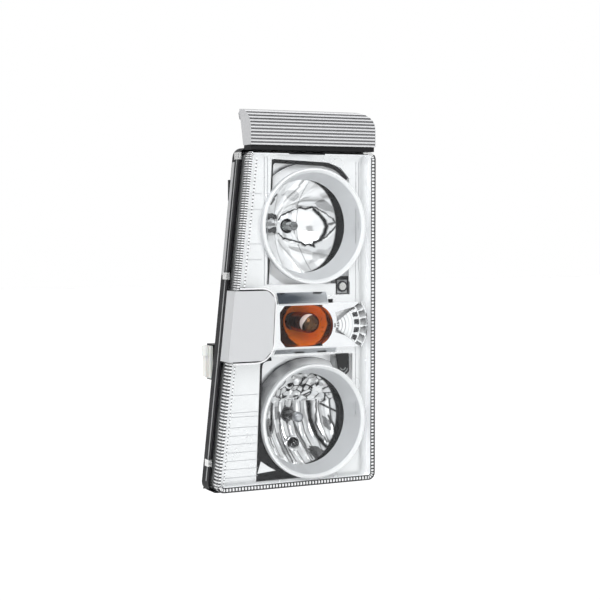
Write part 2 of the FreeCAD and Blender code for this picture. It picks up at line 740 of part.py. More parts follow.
def build_reflector(label, up_name):
    """A bowl with its neck, trunnion bosses, tie-rod lever and clip lugs."""
    up = SIZES[up_name]
    bowl = doc.addObject("Part::Feature", f"{label}_bowl")
    bowl.Shape = paraboloid(up)
    reflector = new_body(label)
    reflector.BaseFeature = bowl
    doc.recompute()
    # neck behind the bowl, bored for the bulb's base
    spin(reflector, 0, up_name, [("bulb_hole + 3", "-50.5"), ("neck_radius", "-48.2"),
                                 ("neck_radius", "neck_back"), ("bulb_hole + 3", "neck_back")])
    # trunnion bosses at both sides, bored for their pins
    for side in (-1, 1):
        low, high = sorted((side * 47, side * 61))
        extrude(reflector, "x", low, high, circle("pivot_back", up_name, "7"))
    for side in (-1, 1):
        low, high = sorted((side * SIZES["trunnion_in"], side * 61))
        extrude(reflector, "x", low, high, circle("pivot_back", up_name, "pin_radius + joint_gap"), cut=True)
    # lever of the tie rod, on the left boss
    extrude(reflector, "x", -58.5, -55.5,
            box("pivot_back + 4", f"{up_name} - 5", "pivot_back + lever_reach + 5", f"{up_name} + 5"))
    extrude(reflector, "x", -58.6, -55.4, circle("pivot_back + lever_reach", up_name, "2.5"), cut=True)
    # lugs that the wire clip hinges in
    for side in (-1, 1):
        low, high = sorted((side * 11.3, side * 14.5))
        extrude(reflector, "x", low, high, box("neck_back - 2", f"{up_name} + 14.5", "neck_back + 5",
                                               f"{up_name} + 22"))
        extrude(reflector, "x", low, high, circle("neck_back + 2.5", f"{up_name} + 19", "1.1"), cut=True)
    # clear the inside of the bowl again where the bosses cross it
    spin(reflector, 0, up_name, bowl_inside(), cut=True)
    return reflector


def bowl_inside():
    """The hollow of a reflector as a profile of (radius, y)."""
    profile = [(0, "bowl_front - 1"), ("bowl_rim", "bowl_front - 1")]
    for share in (1, 0.9, 0.8, 0.7, 0.6, 0.5, 0.4, 0.3, 0.2):
        depth = f"bowl_front + bowl_rim^2 * (1 - {share}^2) / (4 * focal) - 0.3"
        profile.append((f"bowl_rim * {share}", depth))
    profile.append((0, "bowl_front + bowl_rim^2 * 0.96 / (4 * focal)"))
    return profile


def build_high_reflector():
    build_reflector("high_reflector", "high_up")


def build_low_reflector():
    reflector = build_reflector("low_reflector", "low_up")
    # arm up to the ball of the levelling motor, with a socket open to the rear
    extrude(reflector, "z", "low_up + 46", "motor_up - 7", box(-5, "pivot_back - 5", 5, "pivot_back + 5"))
    extrude(reflector, "z", "motor_up - 8", "motor_up + 8", box(-8, "pivot_back - 7", 8, "pivot_back + 7"))
    ball(reflector, 0, "pivot_back", "motor_up", "ball_radius + ball_gap", cut=True)
    extrude(reflector, "y", "pivot_back", "pivot_back + 7.1", circle(0, "motor_up", "4.4"), cut=True)
    # hole and collar of the position lamp
    across, up = POSITION_LAMP
    extrude(reflector, "y", "-72", "-48", circle(across, f"low_up + ({up})", "8.5"))
    spin(reflector, 0, "low_up", bowl_inside(), cut=True)
    extrude(reflector, "y", "-76", "-47", circle(across, f"low_up + ({up})", "5.6"), cut=True)


def build_bulb(name, up, tip, radius):
    """Glass, metal base with its flange and blades, and the plug behind it."""
    glass = new_body(f"{name}_bulb_glass")
    extrude(glass, "y", tip, "-50", circle(0, up, radius))
    round_edges(glass, f"{radius} * 0.45", lambda edge: abs(edge.CenterOfMass.y - tip) < 0.01)
    base = new_body(f"{name}_bulb_base")
    spin(base, 0, up, [(0, "-50"), (7, "-50"), (7, "neck_back"), (14, "neck_back"), (14, "neck_back + 1.6"),
                       (0, "neck_back + 1.6")])
    for side in (-1, 1):
        extrude(base, "y", "neck_back + 1.6", "neck_back + 8",
                box(side * 4 - 1, f"{up} - 3", side * 4 + 1, f"{up} + 3"))
    plug = new_body(f"{name}_bulb_plug")
    extrude(plug, "y", "neck_back + 1.7", "-17", box(-8, f"{up} - 8.5", 8, f"{up} + 8.5"))
    for side in (-1, 1):
        extrude(plug, "y", "neck_back + 1.6", "neck_back + 8.2",
                box(side * 4 - 1.1, f"{up} - 3.1", side * 4 + 1.1, f"{up} + 3.1"), cut=True)


def build_bulb_clip(label, up):
    """A spring wire: hinge rod, two legs over the bulb's flange, and a cross bar."""
    clip = new_body(label)
    back = "(neck_back + 2.5)"
    rod_radius = "0.8"
    leg_radius = "0.7"
    extrude(clip, "x", -14.5, 14.5, circle(back, f"{up} + 19", rod_radius))
    for side in (-1, 1):
        extrude(clip, "z", f"{up} - 18", f"{up} + 19", circle(side * 9.8, back, leg_radius))
    extrude(clip, "x", -10.6, 10.6, circle(back, f"{up} - 18", rod_radius))


def build_position_lamp():
    across, up = POSITION_LAMP
    up = f"low_up + ({up})"
    bulb = new_body("position_bulb")
    ball(bulb, across, "-72", up, "4.6")
    extrude(bulb, "y", "-72", "-62", circle(across, up, "4.6"))
    holder = new_body("position_holder")
    extrude(holder, "y", "-62", "-48", circle(across, up, "5.2"))
    extrude(holder, "y", "-48", "-44", circle(across, up, "8"))
    extrude(holder, "y", "-44", "-32", box(across - 4, f"{up} - 5", across + 4, f"{up} + 5"))


# ---------------------------------------------------------------- carrier and adjusters

def build_carrier():
    """The frame that carries both reflectors and turns between the housing's bearings."""
    carrier = new_body("carrier_frame")
    near = "pivot_back - 4"
    far = "pivot_back + 4"
    top = "lens_top - 18"
    bottom = "lens_bottom + 8"
    outer = box("-upright_out", bottom, "upright_out", top)
    inner = box("-upright_in", f"{bottom} + 5", "upright_in", f"{top} - 5")
    extrude(carrier, "y", near, far, outer, inner)
    # socket of the horizontal adjuster on the right upright
    extrude(carrier, "y", "pivot_back - 7", "pivot_back + 7",
            box("screw_across - 8", -8, "screw_across + 6", 8))
    for up in ("high_up", "low_up"):
        extrude(carrier, "x", "-upright_out", "-upright_in", circle("pivot_back", up, "7"))
        extrude(carrier, "x", "upright_in", "upright_out", circle("pivot_back", up, "7"))
    for up in ("high_up", "low_up"):
        for start, end in (("-upright_out", "-upright_in"), ("upright_in", "upright_out")):
            extrude(carrier, "x", start, end, circle("pivot_back", up, "pin_radius"), cut=True)
    ball(carrier, "screw_across", "pivot_back", 0, "ball_radius + ball_gap", cut=True)
    extrude(carrier, "y", "pivot_back", "pivot_back + 7.1", circle("screw_across", 0, "4.4"), cut=True)
    # pivots above and below
    extrude(carrier, "z", top, "lens_top - 5", circle(0, "pivot_back", "4"))
    extrude(carrier, "z", "lens_bottom + 2.5", bottom, circle(0, "pivot_back", "4"))


def build_trunnion_pins():
    pins = new_body("trunnion_pins")
    for up in ("high_up", "low_up"):
        extrude(pins, "x", "-upright_out", "-trunnion_in - 0.5", circle("pivot_back", up, "pin_radius"))
        extrude(pins, "x", "trunnion_in + 0.5", "upright_out", circle("pivot_back", up, "pin_radius"))


def build_tie_rod():
    """The flat rod that makes both reflectors tilt together, and its two pins."""
    rod = new_body("tie_rod")
    centre = "(pivot_back + lever_reach)"
    extrude(rod, "x", -62, -59, box(f"{centre} - 4", "low_up - 6", f"{centre} + 4", "high_up + 6"))
    pins = new_body("tie_rod_pins")
    for up in ("high_up", "low_up"):
        extrude(pins, "x", -59, -55, circle(centre, up, "2.1"))


def build_level_motor():
    """The levelling motor on the rear wall, its spindle with a ball, and its hand knob."""
    motor = new_body("level_motor")
    extrude(motor, "y", "rear_face", "0", circle(0, "motor_up", "20"))
    extrude(motor, "y", "rear_face - 12", "rear_face", circle(0, "motor_up", "12"))
    extrude(motor, "y", "0", "30", box(-18, "motor_up - 18", 18, "motor_up + 18"))
    round_edges(motor, "5", lambda edge: along("y", edge))
    extrude(motor, "y", "rear_face - 12", "24", circle(0, "motor_up", "3.7"), cut=True)
    extrude(motor, "y", "30", "32", circle(0, "motor_up", "9"))
    extrude(motor, "x", 18, 28, box(8, "motor_up - 9", 22, "motor_up + 9"))
    extrude(motor, "x", 19, 28, box("9.5", "motor_up - 7.5", "20.5", "motor_up + 7.5"), cut=True)
    spindle = new_body("motor_spindle")
    ball(spindle, 0, "pivot_back", "motor_up", "ball_radius")
    extrude(spindle, "y", "pivot_back", "10", circle(0, "motor_up", "3.5"))
    knob = new_body("level_knob")
    extrude(knob, "y", "32.1", "39", arc_points("7", 0, 300, 6, 0, "motor_up"))


def build_horizontal_adjuster():
    """The nut with the ball, which slides, and the screw that drives it from behind."""
    nut = new_body("yaw_nut")
    ball(nut, "screw_across", "pivot_back", 0, "ball_radius")
    extrude(nut, "y", "pivot_back", "-70.5", circle("screw_across", 0, "3.5"))
    extrude(nut, "y", "-70.5", "-50", arc_points("6.5", 0, 300, 6, "screw_across", 0))
    extrude(nut, "y", "-69", "-50", circle("screw_across", 0, "3.2"), cut=True)
    screw = new_body("yaw_screw")
    extrude(screw, "y", "-65", "0.2", circle("screw_across", 0, "3"))
    extrude(screw, "y", "0.2", "8", arc_points("6.5", 0, 300, 6, "screw_across", 0))


# ---------------------------------------------------------------- the whole lamp

def build_all():
    build_outer_lens()
    build_lens_seal()
    build_lens_clips()
    build_ribbed_trim()
    build_trim_seal()
    build_trim_screws()
    build_trim_plate()
    build_housing()
    build_fixing_inserts()
    build_cap("high_cap", "high_up")
    build_cap("low_cap", "low_up")
    build_cap_seals()
    build_connector()
    build_vents()
    build_side_guide()
    build_inner_bezel()
    build_ring("upper_ring", "high_up")
    build_ring("lower_ring", "low_up")
    build_shroud("upper_shroud", "high_up")
    build_shroud("lower_shroud", "low_up")
    build_bezel_screws()
    build_turn_frame()
    build_fan_reflector()
    build_turn_bowl()
    build_turn_bulb()
    build_turn_holder()
    build_high_reflector()
    build_low_reflector()
    build_bulb("high", "high_up", -74, 5.2)
    build_bulb("low", "low_up", -87, 6)
    build_bulb_clip("high_clip", "high_up")
    build_bulb_clip("low_clip", "low_up")
    build_position_lamp()
    build_carrier()
    build_trunnion_pins()
    build_tie_rod()
    build_level_motor()
    build_horizontal_adjuster()


def check_all():
    """Stop on any object that failed, any bad shape, and any cut that took nothing away."""
    failed = [item.Name for item in doc.Objects if "Invalid" in item.State or "Error" in item.State]
    if failed:
        raise RuntimeError(f"failed: {failed}")
    for body in BODIES:
        if body.Shape.isNull() or not body.Shape.isValid():
            raise RuntimeError(f"{body.Label} has no valid shape")
    for feature in CUTS:
        before = feature.BaseFeature.Shape.Volume
        if feature.Shape.Volume > before - 0.01:
            raise RuntimeError(f"{feature.Name} cut nothing")


build_all()
doc.recompute()
check_all()
os.makedirs("parts", exist_ok=True)
for body in BODIES:
    body.Shape.exportStep(f"parts/{body.Label}.step")
print(f"{len(BODIES)} sub-parts written")
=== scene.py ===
"""Looks of the truck headlight assembly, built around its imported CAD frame.

Lengths below are in millimetres in the part's own frame: origin between the four rear fixings,
the lamp shines along -Y, +Z is up, and +X is to the right seen from in front.
"""

import math

import bpy
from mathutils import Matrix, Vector, noise


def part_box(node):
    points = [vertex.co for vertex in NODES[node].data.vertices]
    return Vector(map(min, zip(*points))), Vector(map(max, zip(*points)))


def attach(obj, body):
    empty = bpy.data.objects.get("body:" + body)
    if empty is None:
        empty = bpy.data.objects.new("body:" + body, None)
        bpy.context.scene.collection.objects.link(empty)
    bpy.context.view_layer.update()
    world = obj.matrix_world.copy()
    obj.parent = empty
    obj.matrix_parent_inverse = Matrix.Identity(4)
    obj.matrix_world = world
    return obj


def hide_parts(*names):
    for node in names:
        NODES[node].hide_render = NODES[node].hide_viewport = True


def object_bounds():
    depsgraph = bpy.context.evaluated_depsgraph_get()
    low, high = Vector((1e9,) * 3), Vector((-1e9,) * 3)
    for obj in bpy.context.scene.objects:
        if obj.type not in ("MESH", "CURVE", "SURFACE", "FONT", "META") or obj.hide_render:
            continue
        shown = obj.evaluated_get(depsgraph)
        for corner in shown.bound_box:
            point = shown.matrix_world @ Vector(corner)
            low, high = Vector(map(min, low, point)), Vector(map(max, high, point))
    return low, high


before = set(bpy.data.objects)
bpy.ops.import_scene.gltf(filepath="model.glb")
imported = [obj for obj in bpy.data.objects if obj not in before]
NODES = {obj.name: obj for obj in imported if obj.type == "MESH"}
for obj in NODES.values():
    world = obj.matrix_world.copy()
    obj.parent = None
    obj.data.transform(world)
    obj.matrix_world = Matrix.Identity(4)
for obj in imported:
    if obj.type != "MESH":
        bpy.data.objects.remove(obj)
CAD_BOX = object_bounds()

MM = 0.001


def box_mm(node):
    """Lowest and highest corner of a CAD node, in millimetres."""
    low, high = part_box(node)
    return low / MM, high / MM


# ---------- places taken from the frame

LENS_LOW, LENS_HIGH = box_mm("outer_lens")
PLATE_LOW, PLATE_HIGH = box_mm("trim_plate")
BEZEL_LOW, BEZEL_HIGH = box_mm("inner_bezel")
BOWL_LOW, BOWL_HIGH = box_mm("turn_bowl")
TRAY_LOW, TRAY_HIGH = box_mm("turn_frame")
UPPER_LOW, UPPER_HIGH = box_mm("upper_ring")
LOWER_LOW, LOWER_HIGH = box_mm("lower_ring")
POSITION_LOW, POSITION_HIGH = box_mm("position_bulb")

HIGH_AXIS = (UPPER_LOW.z + UPPER_HIGH.z) / 2
LOW_AXIS = (LOWER_LOW.z + LOWER_HIGH.z) / 2
POSITION_AXIS = (POSITION_LOW.z + POSITION_HIGH.z) / 2

LENS_FACE = LENS_LOW.y
LENS_RIGHT = LENS_HIGH.x
LENS_TOP = LENS_HIGH.z
LENS_BOTTOM = LENS_LOW.z
LENS_CORNER = 9.0
FLANK_SLOPE = 0.1084       # how far the slanted flank moves in x per unit of height
FLANK_AT_ZERO = -108.4     # x of the slanted flank at z = 0

BOWL_RIM = 56.4            # radius of a mirrored face's rim, just inside the reflector's mouth
BOWL_HOLE = 9.0            # radius of the bulb's hole
BOWL_FOCAL = 19.0
BOWL_APEX = -51.1          # y of the mirrored faces' apex, just in front of the CAD bowls

LEAF_X = 19.0              # leaf-shaped window in the high-beam bowl: middle, half length, half height
LEAF_LONG = 32.0
LEAF_TALL = 22.0

RIB_FOOT = 205.0           # where the ribs of the top trim start, and how far apart they are
RIB_PITCH = 41.5 / 11
RIB_LEFT = box_mm("ribbed_trim")[0].x

FAN_CENTRE = Vector((23.0, -2.5))
FAN_RADIUS = 45.0
FAN_HALF_ANGLE = math.radians(35)

CAMERA_AIM = Vector((-24.0, LENS_FACE, 28.8))
CAMERA_AZIMUTH = math.radians(-27.0)
CAMERA_ELEVATION = math.radians(3.3)
CAMERA_DISTANCE = 1.7
CAMERA_LENS = 89.0


# ---------- meshes

def shape(name, points, faces, material, body, slot, smooth=True):
    """A mesh piece from points in millimetres, riding on a CAD body."""
    mesh = bpy.data.meshes.new(name)
    mesh.from_pydata([tuple(c * MM for c in p) for p in points], [], faces)
    mesh.polygons.foreach_set("use_smooth", [smooth] * len(mesh.polygons))
    mesh.update()
    piece = bpy.data.objects.new(name, mesh)
    bpy.context.scene.collection.objects.link(piece)
    mesh.materials.append(material)
    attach(piece, body)
    return piece


def paint(piece, name, values):
    """Stores one number per vertex, for the material to read."""
    layer = piece.data.attributes.new(name, "FLOAT", "POINT")
    layer.data.foreach_set("value", values)


def grid_faces(rows, columns, closed=False):
    """Quads of a grid of rows x columns points; closed joins the last column to the first."""
    faces = []
    for row in range(rows - 1):
        for column in range(columns if closed else columns - 1):
            following = (column + 1) % columns
            a = row * columns + column
            b = row * columns + following
            faces.append((a, b, b + columns, a + columns))
    return faces


def bevelled(piece, width):
    """Rounds a piece's sharp edges."""
    bevel = piece.modifiers.new("edges", "BEVEL")
    bevel.width = width * MM
    bevel.segments = 2
    bevel.limit_method = "ANGLE"
    bevel.angle_limit = math.radians(40)
    bevel.harden_normals = False
    return piece


def limit(value):
    """A number kept between 0 and 1."""
    return max(0.0, min(1.0, value))


def surface(name, rows, columns, spot, material, slot, body="housing", closed=False, keep=None, flip=False):
    """A grid piece; spot(row, column) gives each point and how dark the material is there."""
    spots = [spot(row, column) for row in range(rows) for column in range(columns)]
    points = [point for point, _ in spots]
    faces = grid_faces(rows, columns, closed)
    if keep:
        faces = [face for face in faces if keep([points[i] for i in face])]
    if flip:
        faces = [tuple(reversed(face)) for face in faces]
    piece = shape(name, points, faces, material, body, slot)
    paint(piece, "dark", [dark for _, dark in spots])
    return piece


def around(radius, angle):
    """The point at an angle on a circle."""
    return Vector((radius * math.cos(angle), radius * math.sin(angle)))


def flank(z):
    """Where the slanted flank of the lens is at a height."""
    return FLANK_AT_ZERO + FLANK_SLOPE * z


def merge(points, faces, more, sides):
    """Adds one closed form's points and faces to those of a piece."""
    faces += [tuple(i + len(points) for i in face) for face in sides]
    points += more


def prism(points, low, high):
    """Points and faces of a solid over an outline of (x, z) points, from y low to y high."""
    count = len(points)
    made = [(x, low, z) for x, z in points] + [(x, high, z) for x, z in points]
    faces = [tuple(range(count)), tuple(reversed(range(count, 2 * count)))]
    for i in range(count):
        j = (i + 1) % count
        faces.append((i, i + count, j + count, j))
    return made, faces


def tube(path, radius, sides=8):
    """Points and faces of a closed round bar along a list of points."""
    points = []
    for i, here in enumerate(path):
        ahead = path[min(i + 1, len(path) - 1)] - path[max(i - 1, 0)]
        ahead.normalize()
        side = ahead.orthogonal().normalized()
        other = ahead.cross(side)
        for k in range(sides):
            angle = 2 * math.pi * k / sides
            points.append(here + radius * (math.cos(angle) * side + math.sin(angle) * other))
    faces = grid_faces(len(path), sides, closed=True)
    faces.append(tuple(reversed(range(sides))))
    faces.append(tuple(range(len(points) - sides, len(points))))
    return points, faces


def lathe(name, profile, x, z, material, body, slot, segments=96):
    """A turned piece about a line along Y through (x, z), from a profile of (radius, y)."""
    points = []
    for radius, y in profile:
        for k in range(segments):
            spot = around(radius, 2 * math.pi * k / segments)
            points.append((x + spot.x, y, z + spot.y))
    return shape(name, points, grid_faces(len(profile), segments, closed=True), material, body, slot)


def plate(name, outline, low, high, material, slot):
    """A flat plate over an outline of (x, z) points, from y low to y high."""
    return shape(name, *prism(outline, low, high), material, "housing", slot, smooth=False)


def bars(name, boxes, material, slot, soften=0.15):
    """Small bevelled blocks as one piece, each (x, y, z, width, depth, height) from its low corner."""
    points = []
    faces = []
    for x, y, z, width, depth, height in boxes:
        outline = [(x, z), (x + width, z), (x + width, z + height), (x, z + height)]
        merge(points, faces, *prism(outline, y, y + depth))
    return bevelled(shape(name, points, faces, material, "housing", slot, smooth=False), soften)


def ribbon(name, path, start, end, y, thick, material, slot):
    """A flat strip beside an open path of (x, z) points, between two distances to its left."""
    normals = []
    for i, here in enumerate(path):
        before = (here - path[i - 1]).normalized() if i else (path[1] - here).normalized()
        after = (path[i + 1] - here).normalized() if i + 1 < len(path) else before
        mean = (before + after).normalized()
        normals.append(Vector((-mean.y, mean.x)) / max(0.5, mean.dot(before)))
    points = []
    for here, normal in zip(path, normals):
        near = here + normal * start
        far = here + normal * end
        points += [(near.x, y, near.y), (near.x, y - thick, near.y)]
        points += [(far.x, y - thick, far.y), (far.x, y, far.y)]
    return shape(name, points, grid_faces(len(path), 4, closed=True), material, "housing", slot, smooth=False)


def rounded(corners, radius, steps=6):
    """An open path through corners, each inner one rounded off."""
    path = [corners[0]]
    for before, corner, after in zip(corners, corners[1:], corners[2:]):
        start = corner + (before - corner).normalized() * min(radius, (before - corner).length * 0.45)
        end = corner + (after - corner).normalized() * min(radius, (after - corner).length * 0.45)
        for k in range(steps + 1):
            t = k / steps
            path.append(start * (1 - t) ** 2 + corner * 2 * t * (1 - t) + end * t * t)
    path.append(corners[-1])
    return path


# ---------- materials

def set_input(tree, socket, value):
    """Gives a node's input a plain value or another node's output."""
    if isinstance(value, bpy.types.NodeSocket):
        tree.links.new(value, socket)
    else:
        socket.default_value = value


def add_node(tree, kind, inputs=None, **settings):
    """A shader node with its settings and inputs."""
    made = tree.nodes.new("ShaderNode" + kind)
    for key, value in settings.items():
        setattr(made, key, value)
    for key, value in (inputs or {}).items():
        set_input(tree, made.inputs[key], value)
    return made


class Paint:
    """A procedural material around one Principled shader."""

    def __init__(self, name, colour, roughness, metallic=0.0, **inputs):
        self.material = bpy.data.materials.new(name)
        self.material.use_nodes = True
        self.tree = self.material.node_tree
        self.shader = self.tree.nodes["Principled BSDF"]
        self.colour = colour
        self.roughness = roughness
        self.feed(Base_Color=(*colour, 1.0), Roughness=roughness, Metallic=metallic, **inputs)
        self.place = self.node("TexCoord").outputs["Object"]

    def node(self, kind, inputs=None, **settings):
        return add_node(self.tree, kind, inputs, **settings)

    def feed(self, **inputs):
        """Sets the shader's inputs, with underscores for the spaces in their names."""
        for key, value in inputs.items():
            set_input(self.tree, self.shader.inputs[key.replace("_", " ")], value)

    def noise(self, size, detail=3.0, stretch=(1, 1, 1)):
        """Noise whose features are about size millimetres across."""
        place = self.node("Mapping", {"Scale": stretch, "Vector": self.place}).outputs["Vector"]
        return self.node("TexNoise", {
            "Scale": 1.0 / (size * MM), "Detail": detail, "Vector": place,
        }).outputs["Fac"]

    def ramp(self, source, low, high, start=0.3, end=0.7):
        """Maps a factor between start and end to a number between low and high."""
        return self.node("MapRange", {
            "Value": source, "From Min": start, "From Max": end, "To Min": low, "To Max": high,
        }).outputs["Result"]

    def mixed(self, factor, first, second):
        """A colour mixed by a factor."""
        return self.node("Mix", {
            "Factor": factor, "A": (*first, 1.0), "B": (*second, 1.0),
        }, data_type="RGBA").outputs["Result"]

    def times(self, first, second):
        """The product of two factors."""
        return self.node("Math", {0: first, 1: second}, operation="MULTIPLY").outputs["Value"]

    def mottle(self, size, depth, rough_spread=0.05):
        """Colour and gloss that vary slightly over the surface."""
        source = self.noise(size)
        darker = tuple(c * (1 - depth) for c in self.colour)
        lighter = tuple(min(1.0, c * (1 + depth)) for c in self.colour)
        smoother = max(0.01, self.roughness - rough_spread)
        self.feed(
            Base_Color=self.mixed(source, darker, lighter),
            Roughness=self.ramp(source, self.roughness + rough_spread, smoother),
        )
        return self

    def grain(self, size, height, stretch=(1, 1, 1)):
        """A moulded or brushed grain, as bump."""
        source = self.noise(size, 2.0, stretch)
        bump = self.node("Bump", {"Strength": 1.0, "Distance": height * MM, "Height": source})
        self.feed(Normal=bump.outputs["Normal"])
        return self

    def coordinates(self):
        """The place on the piece, as separate numbers."""
        return self.node("SeparateXYZ", {"Vector": self.place}).outputs

    def coloured(self, factor, mark):
        """Takes the colour mark where a factor is high, also in the light it gives off."""
        colour = self.mixed(factor, self.colour, mark)
        self.feed(Base_Color=colour, Emission_Color=colour)
        return self

    def fronted(self, y, colour, roughness):
        """Takes another colour and gloss in front of a depth y, in millimetres."""
        front = self.ramp(self.coordinates()["Y"], 1.0, 0.0, (y - 0.4) * MM, (y + 0.4) * MM)
        self.feed(
            Base_Color=self.mixed(front, self.colour, colour),
            Roughness=self.ramp(front, self.roughness, roughness, 0.0, 1.0),
        )
        return self

    def marked(self, attribute, mark, start=0.2, end=0.8):
        """Takes the colour mark where the vertex attribute is high."""
        reader = self.node("Attribute", attribute_name=attribute)
        return self.coloured(self.ramp(reader.outputs["Fac"], 0.0, 1.0, start, end), mark)

    def shaded(self, direction, start, end, mark):
        """Paints shade: takes the colour mark along a direction, between two distances in millimetres,
        mottled by noise.
        """
        along = self.node("VectorMath", {0: self.place, 1: direction}, operation="DOT_PRODUCT")
        depth = self.ramp(along.outputs["Value"], 0.0, 1.0, start * MM, end * MM)
        clouds = self.ramp(self.noise(22, 1.0), 0.5, 1.0)
        return self.coloured(self.times(depth, clouds), mark)

    def striped(self, foot, pitch, share, mark, left):
        """Paints shade in grooves: takes the colour mark over the upper share of every pitch of height, right
        of a side face.
        """
        place = self.coordinates()
        steps = self.node("Math", {
            0: place["Z"], 1: 1 / (pitch * MM), 2: -foot / pitch,
        }, operation="MULTIPLY_ADD")
        phase = self.node("Math", {0: steps.outputs["Value"]}, operation="FRACT")
        stripe = self.ramp(phase.outputs["Value"], 0.0, 1.0, 0.96 - share, 1.04 - share)
        inboard = self.ramp(place["X"], 0.0, 1.0, (left + 0.2) * MM, (left + 0.7) * MM)
        self.feed(Base_Color=self.mixed(self.times(stripe, inboard), self.colour, mark))
        return self


def clear_film(name, tint, gloss=0.03, density=0.0, index=1.49, share=1.0, shine=(0.95, 0.96, 0.97)):
    """Thin clear plastic or glass: see-through, with a surface reflection that grows at the edges."""
    made = Paint(name, shine, gloss, 1.0)
    through = made.node("BsdfTransparent", {"Color": (*tint, 1.0)})
    fresnel = made.node("Fresnel", {"IOR": index})
    factor = made.node("Math", {
        0: fresnel.outputs["Fac"], 1: share, 2: density,
    }, operation="MULTIPLY_ADD")
    mix = made.node("MixShader", {
        "Fac": factor.outputs["Value"], 1: through.outputs["BSDF"], 2: made.shader.outputs["BSDF"],
    })
    set_input(made.tree, made.tree.nodes["Material Output"].inputs["Surface"], mix.outputs["Shader"])
    made.feed(Roughness=made.ramp(made.noise(25), gloss, gloss + 0.02))
    return made.material


MATT = {"Specular_IOR_Level": 0.22}

CLEAR_LENS = clear_film("clear_lens", (0.985, 0.99, 0.99), share=0.3)
BULB_GLASS = clear_film("bulb_glass", (0.93, 0.94, 0.95), density=0.05, index=1.52)
CHROME = Paint("chromed_plastic", (0.93, 0.935, 0.945), 0.07, 1.0)
CHROME = CHROME.mottle(40, 0.02, 0.02).grain(18, 0.03).material


def dish(name):
    """The frosted chrome of the dishes behind the rings, with a faint glow that stands in for light, before
    its painted shade is put in.
    """
    return Paint(name, (0.92, 0.925, 0.935), 0.33, 0.35, Emission_Strength=0.18)


# painted shade: darker near the ring's upper side and in a dark streak, from the panel's dark values
DISH = dish("chromed_dish").marked("dark", (0.05, 0.052, 0.056)).grain(20, 0.05).material
# painted shade: the high dish is darker towards its far left, the low dish towards its upper left, mottled by
# noise
HIGH_DISH = dish("chromed_dish_high")
HIGH_DISH = HIGH_DISH.shaded((-1.0, 0.0, 0.0), 46, 66, (0.10, 0.103, 0.11)).grain(20, 0.05).material
LOW_DISH = dish("chromed_dish_low")
LOW_DISH = LOW_DISH.shaded((-0.75, 0.0, 0.66), -33, -13, (0.09, 0.093, 0.10)).grain(20, 0.05).material
BEZEL = Paint("bezel_chrome", (0.87, 0.875, 0.88), 0.24, 0.55).mottle(26, 0.04, 0.04).grain(20, 0.05).material
HOUSING = Paint("housing_plastic", (0.009, 0.009, 0.0105), 0.42, Specular_IOR_Level=0.14)
HOUSING = HOUSING.mottle(14, 0.35, 0.09).grain(1.1, 0.06).material
# a darker copy of the chrome for the bezel's fine steps: painted shade at the steps
STEP_SHADE = Paint("chrome_step_shade", (0.42, 0.425, 0.44), 0.3, 0.7).mottle(5, 0.1).material
# painted shade on the tray's slopes, from their dark values
SLOPE = Paint("tray_slope", (0.84, 0.86, 0.88), 0.2, 0.6)
SLOPE = SLOPE.marked("dark", (0.035, 0.045, 0.06), 0.0, 1.0).grain(14, 0.05).material
# painted reflections and shadow: the bowls' dark values darken the mirror, and a faint glow stands in for
# light
MIRROR = Paint("mirror_bowl", (0.95, 0.955, 0.96), 0.05, 0.6, Emission_Strength=0.1)
MIRROR = MIRROR.marked("dark", (0.008, 0.008, 0.009), 0.0, 1.0).material
SATIN = Paint("satin_ring", (0.66, 0.67, 0.685), 0.45, 0.2)
SATIN = SATIN.fronted(UPPER_LOW.y + 3.2, (0.93, 0.932, 0.935), 0.25).grain(0.5, 0.006).material
SILVER = Paint("silver_paint", (0.56, 0.57, 0.58), 0.36, 0.5, Coat_Weight=0.3, Coat_Roughness=0.12)
SILVER = SILVER.mottle(0.35, 0.07, 0.05).grain(0.4, 0.004).material
# painted shade in the grooves: the upper share of every rib pitch is darker
RIBS = Paint("silver_ribs", (0.66, 0.665, 0.675), 0.26, 0.7).grain(0.4, 0.003)
RIBS = RIBS.striped(RIB_FOOT, RIB_PITCH, 0.42, (0.15, 0.15, 0.155), RIB_LEFT).material
BLACK = Paint("black_plastic", (0.008, 0.008, 0.009), 0.45, **MATT)
BLACK = BLACK.mottle(9, 0.25, 0.07).grain(0.7, 0.035).material
DARK = Paint("dark_plastic", (0.03, 0.031, 0.034), 0.4, **MATT)
DARK = DARK.mottle(6, 0.2, 0.06).grain(0.8, 0.02).material
GREY = Paint("grey_plastic", (0.34, 0.345, 0.35), 0.42).mottle(7, 0.06, 0.05).grain(0.8, 0.02).material
NYLON = Paint("nylon", (0.72, 0.71, 0.68), 0.38, Subsurface_Weight=0.1)
NYLON = NYLON.mottle(5, 0.04, 0.05).grain(1.0, 0.015).material
RUBBER = Paint("seal_rubber", (0.009, 0.009, 0.01), 0.62, **MATT)
RUBBER = RUBBER.mottle(3, 0.3, 0.08).grain(0.5, 0.02).material
CAP = Paint("cap_rubber", (0.02, 0.02, 0.022), 0.6).mottle(4, 0.25, 0.08).grain(0.6, 0.02).material
SPRING = Paint("spring_steel", (0.78, 0.78, 0.77), 0.24, 1.0)
SPRING = SPRING.mottle(2, 0.08, 0.06).grain(0.4, 0.004, (1, 1, 8)).material
ZINC = Paint("zinc_steel", (0.62, 0.62, 0.6), 0.3, 1.0).mottle(1.5, 0.12, 0.08).grain(0.5, 0.006).material
BRASS = Paint("brass", (0.78, 0.6, 0.3), 0.26, 1.0).mottle(2, 0.1, 0.06).grain(0.4, 0.004).material
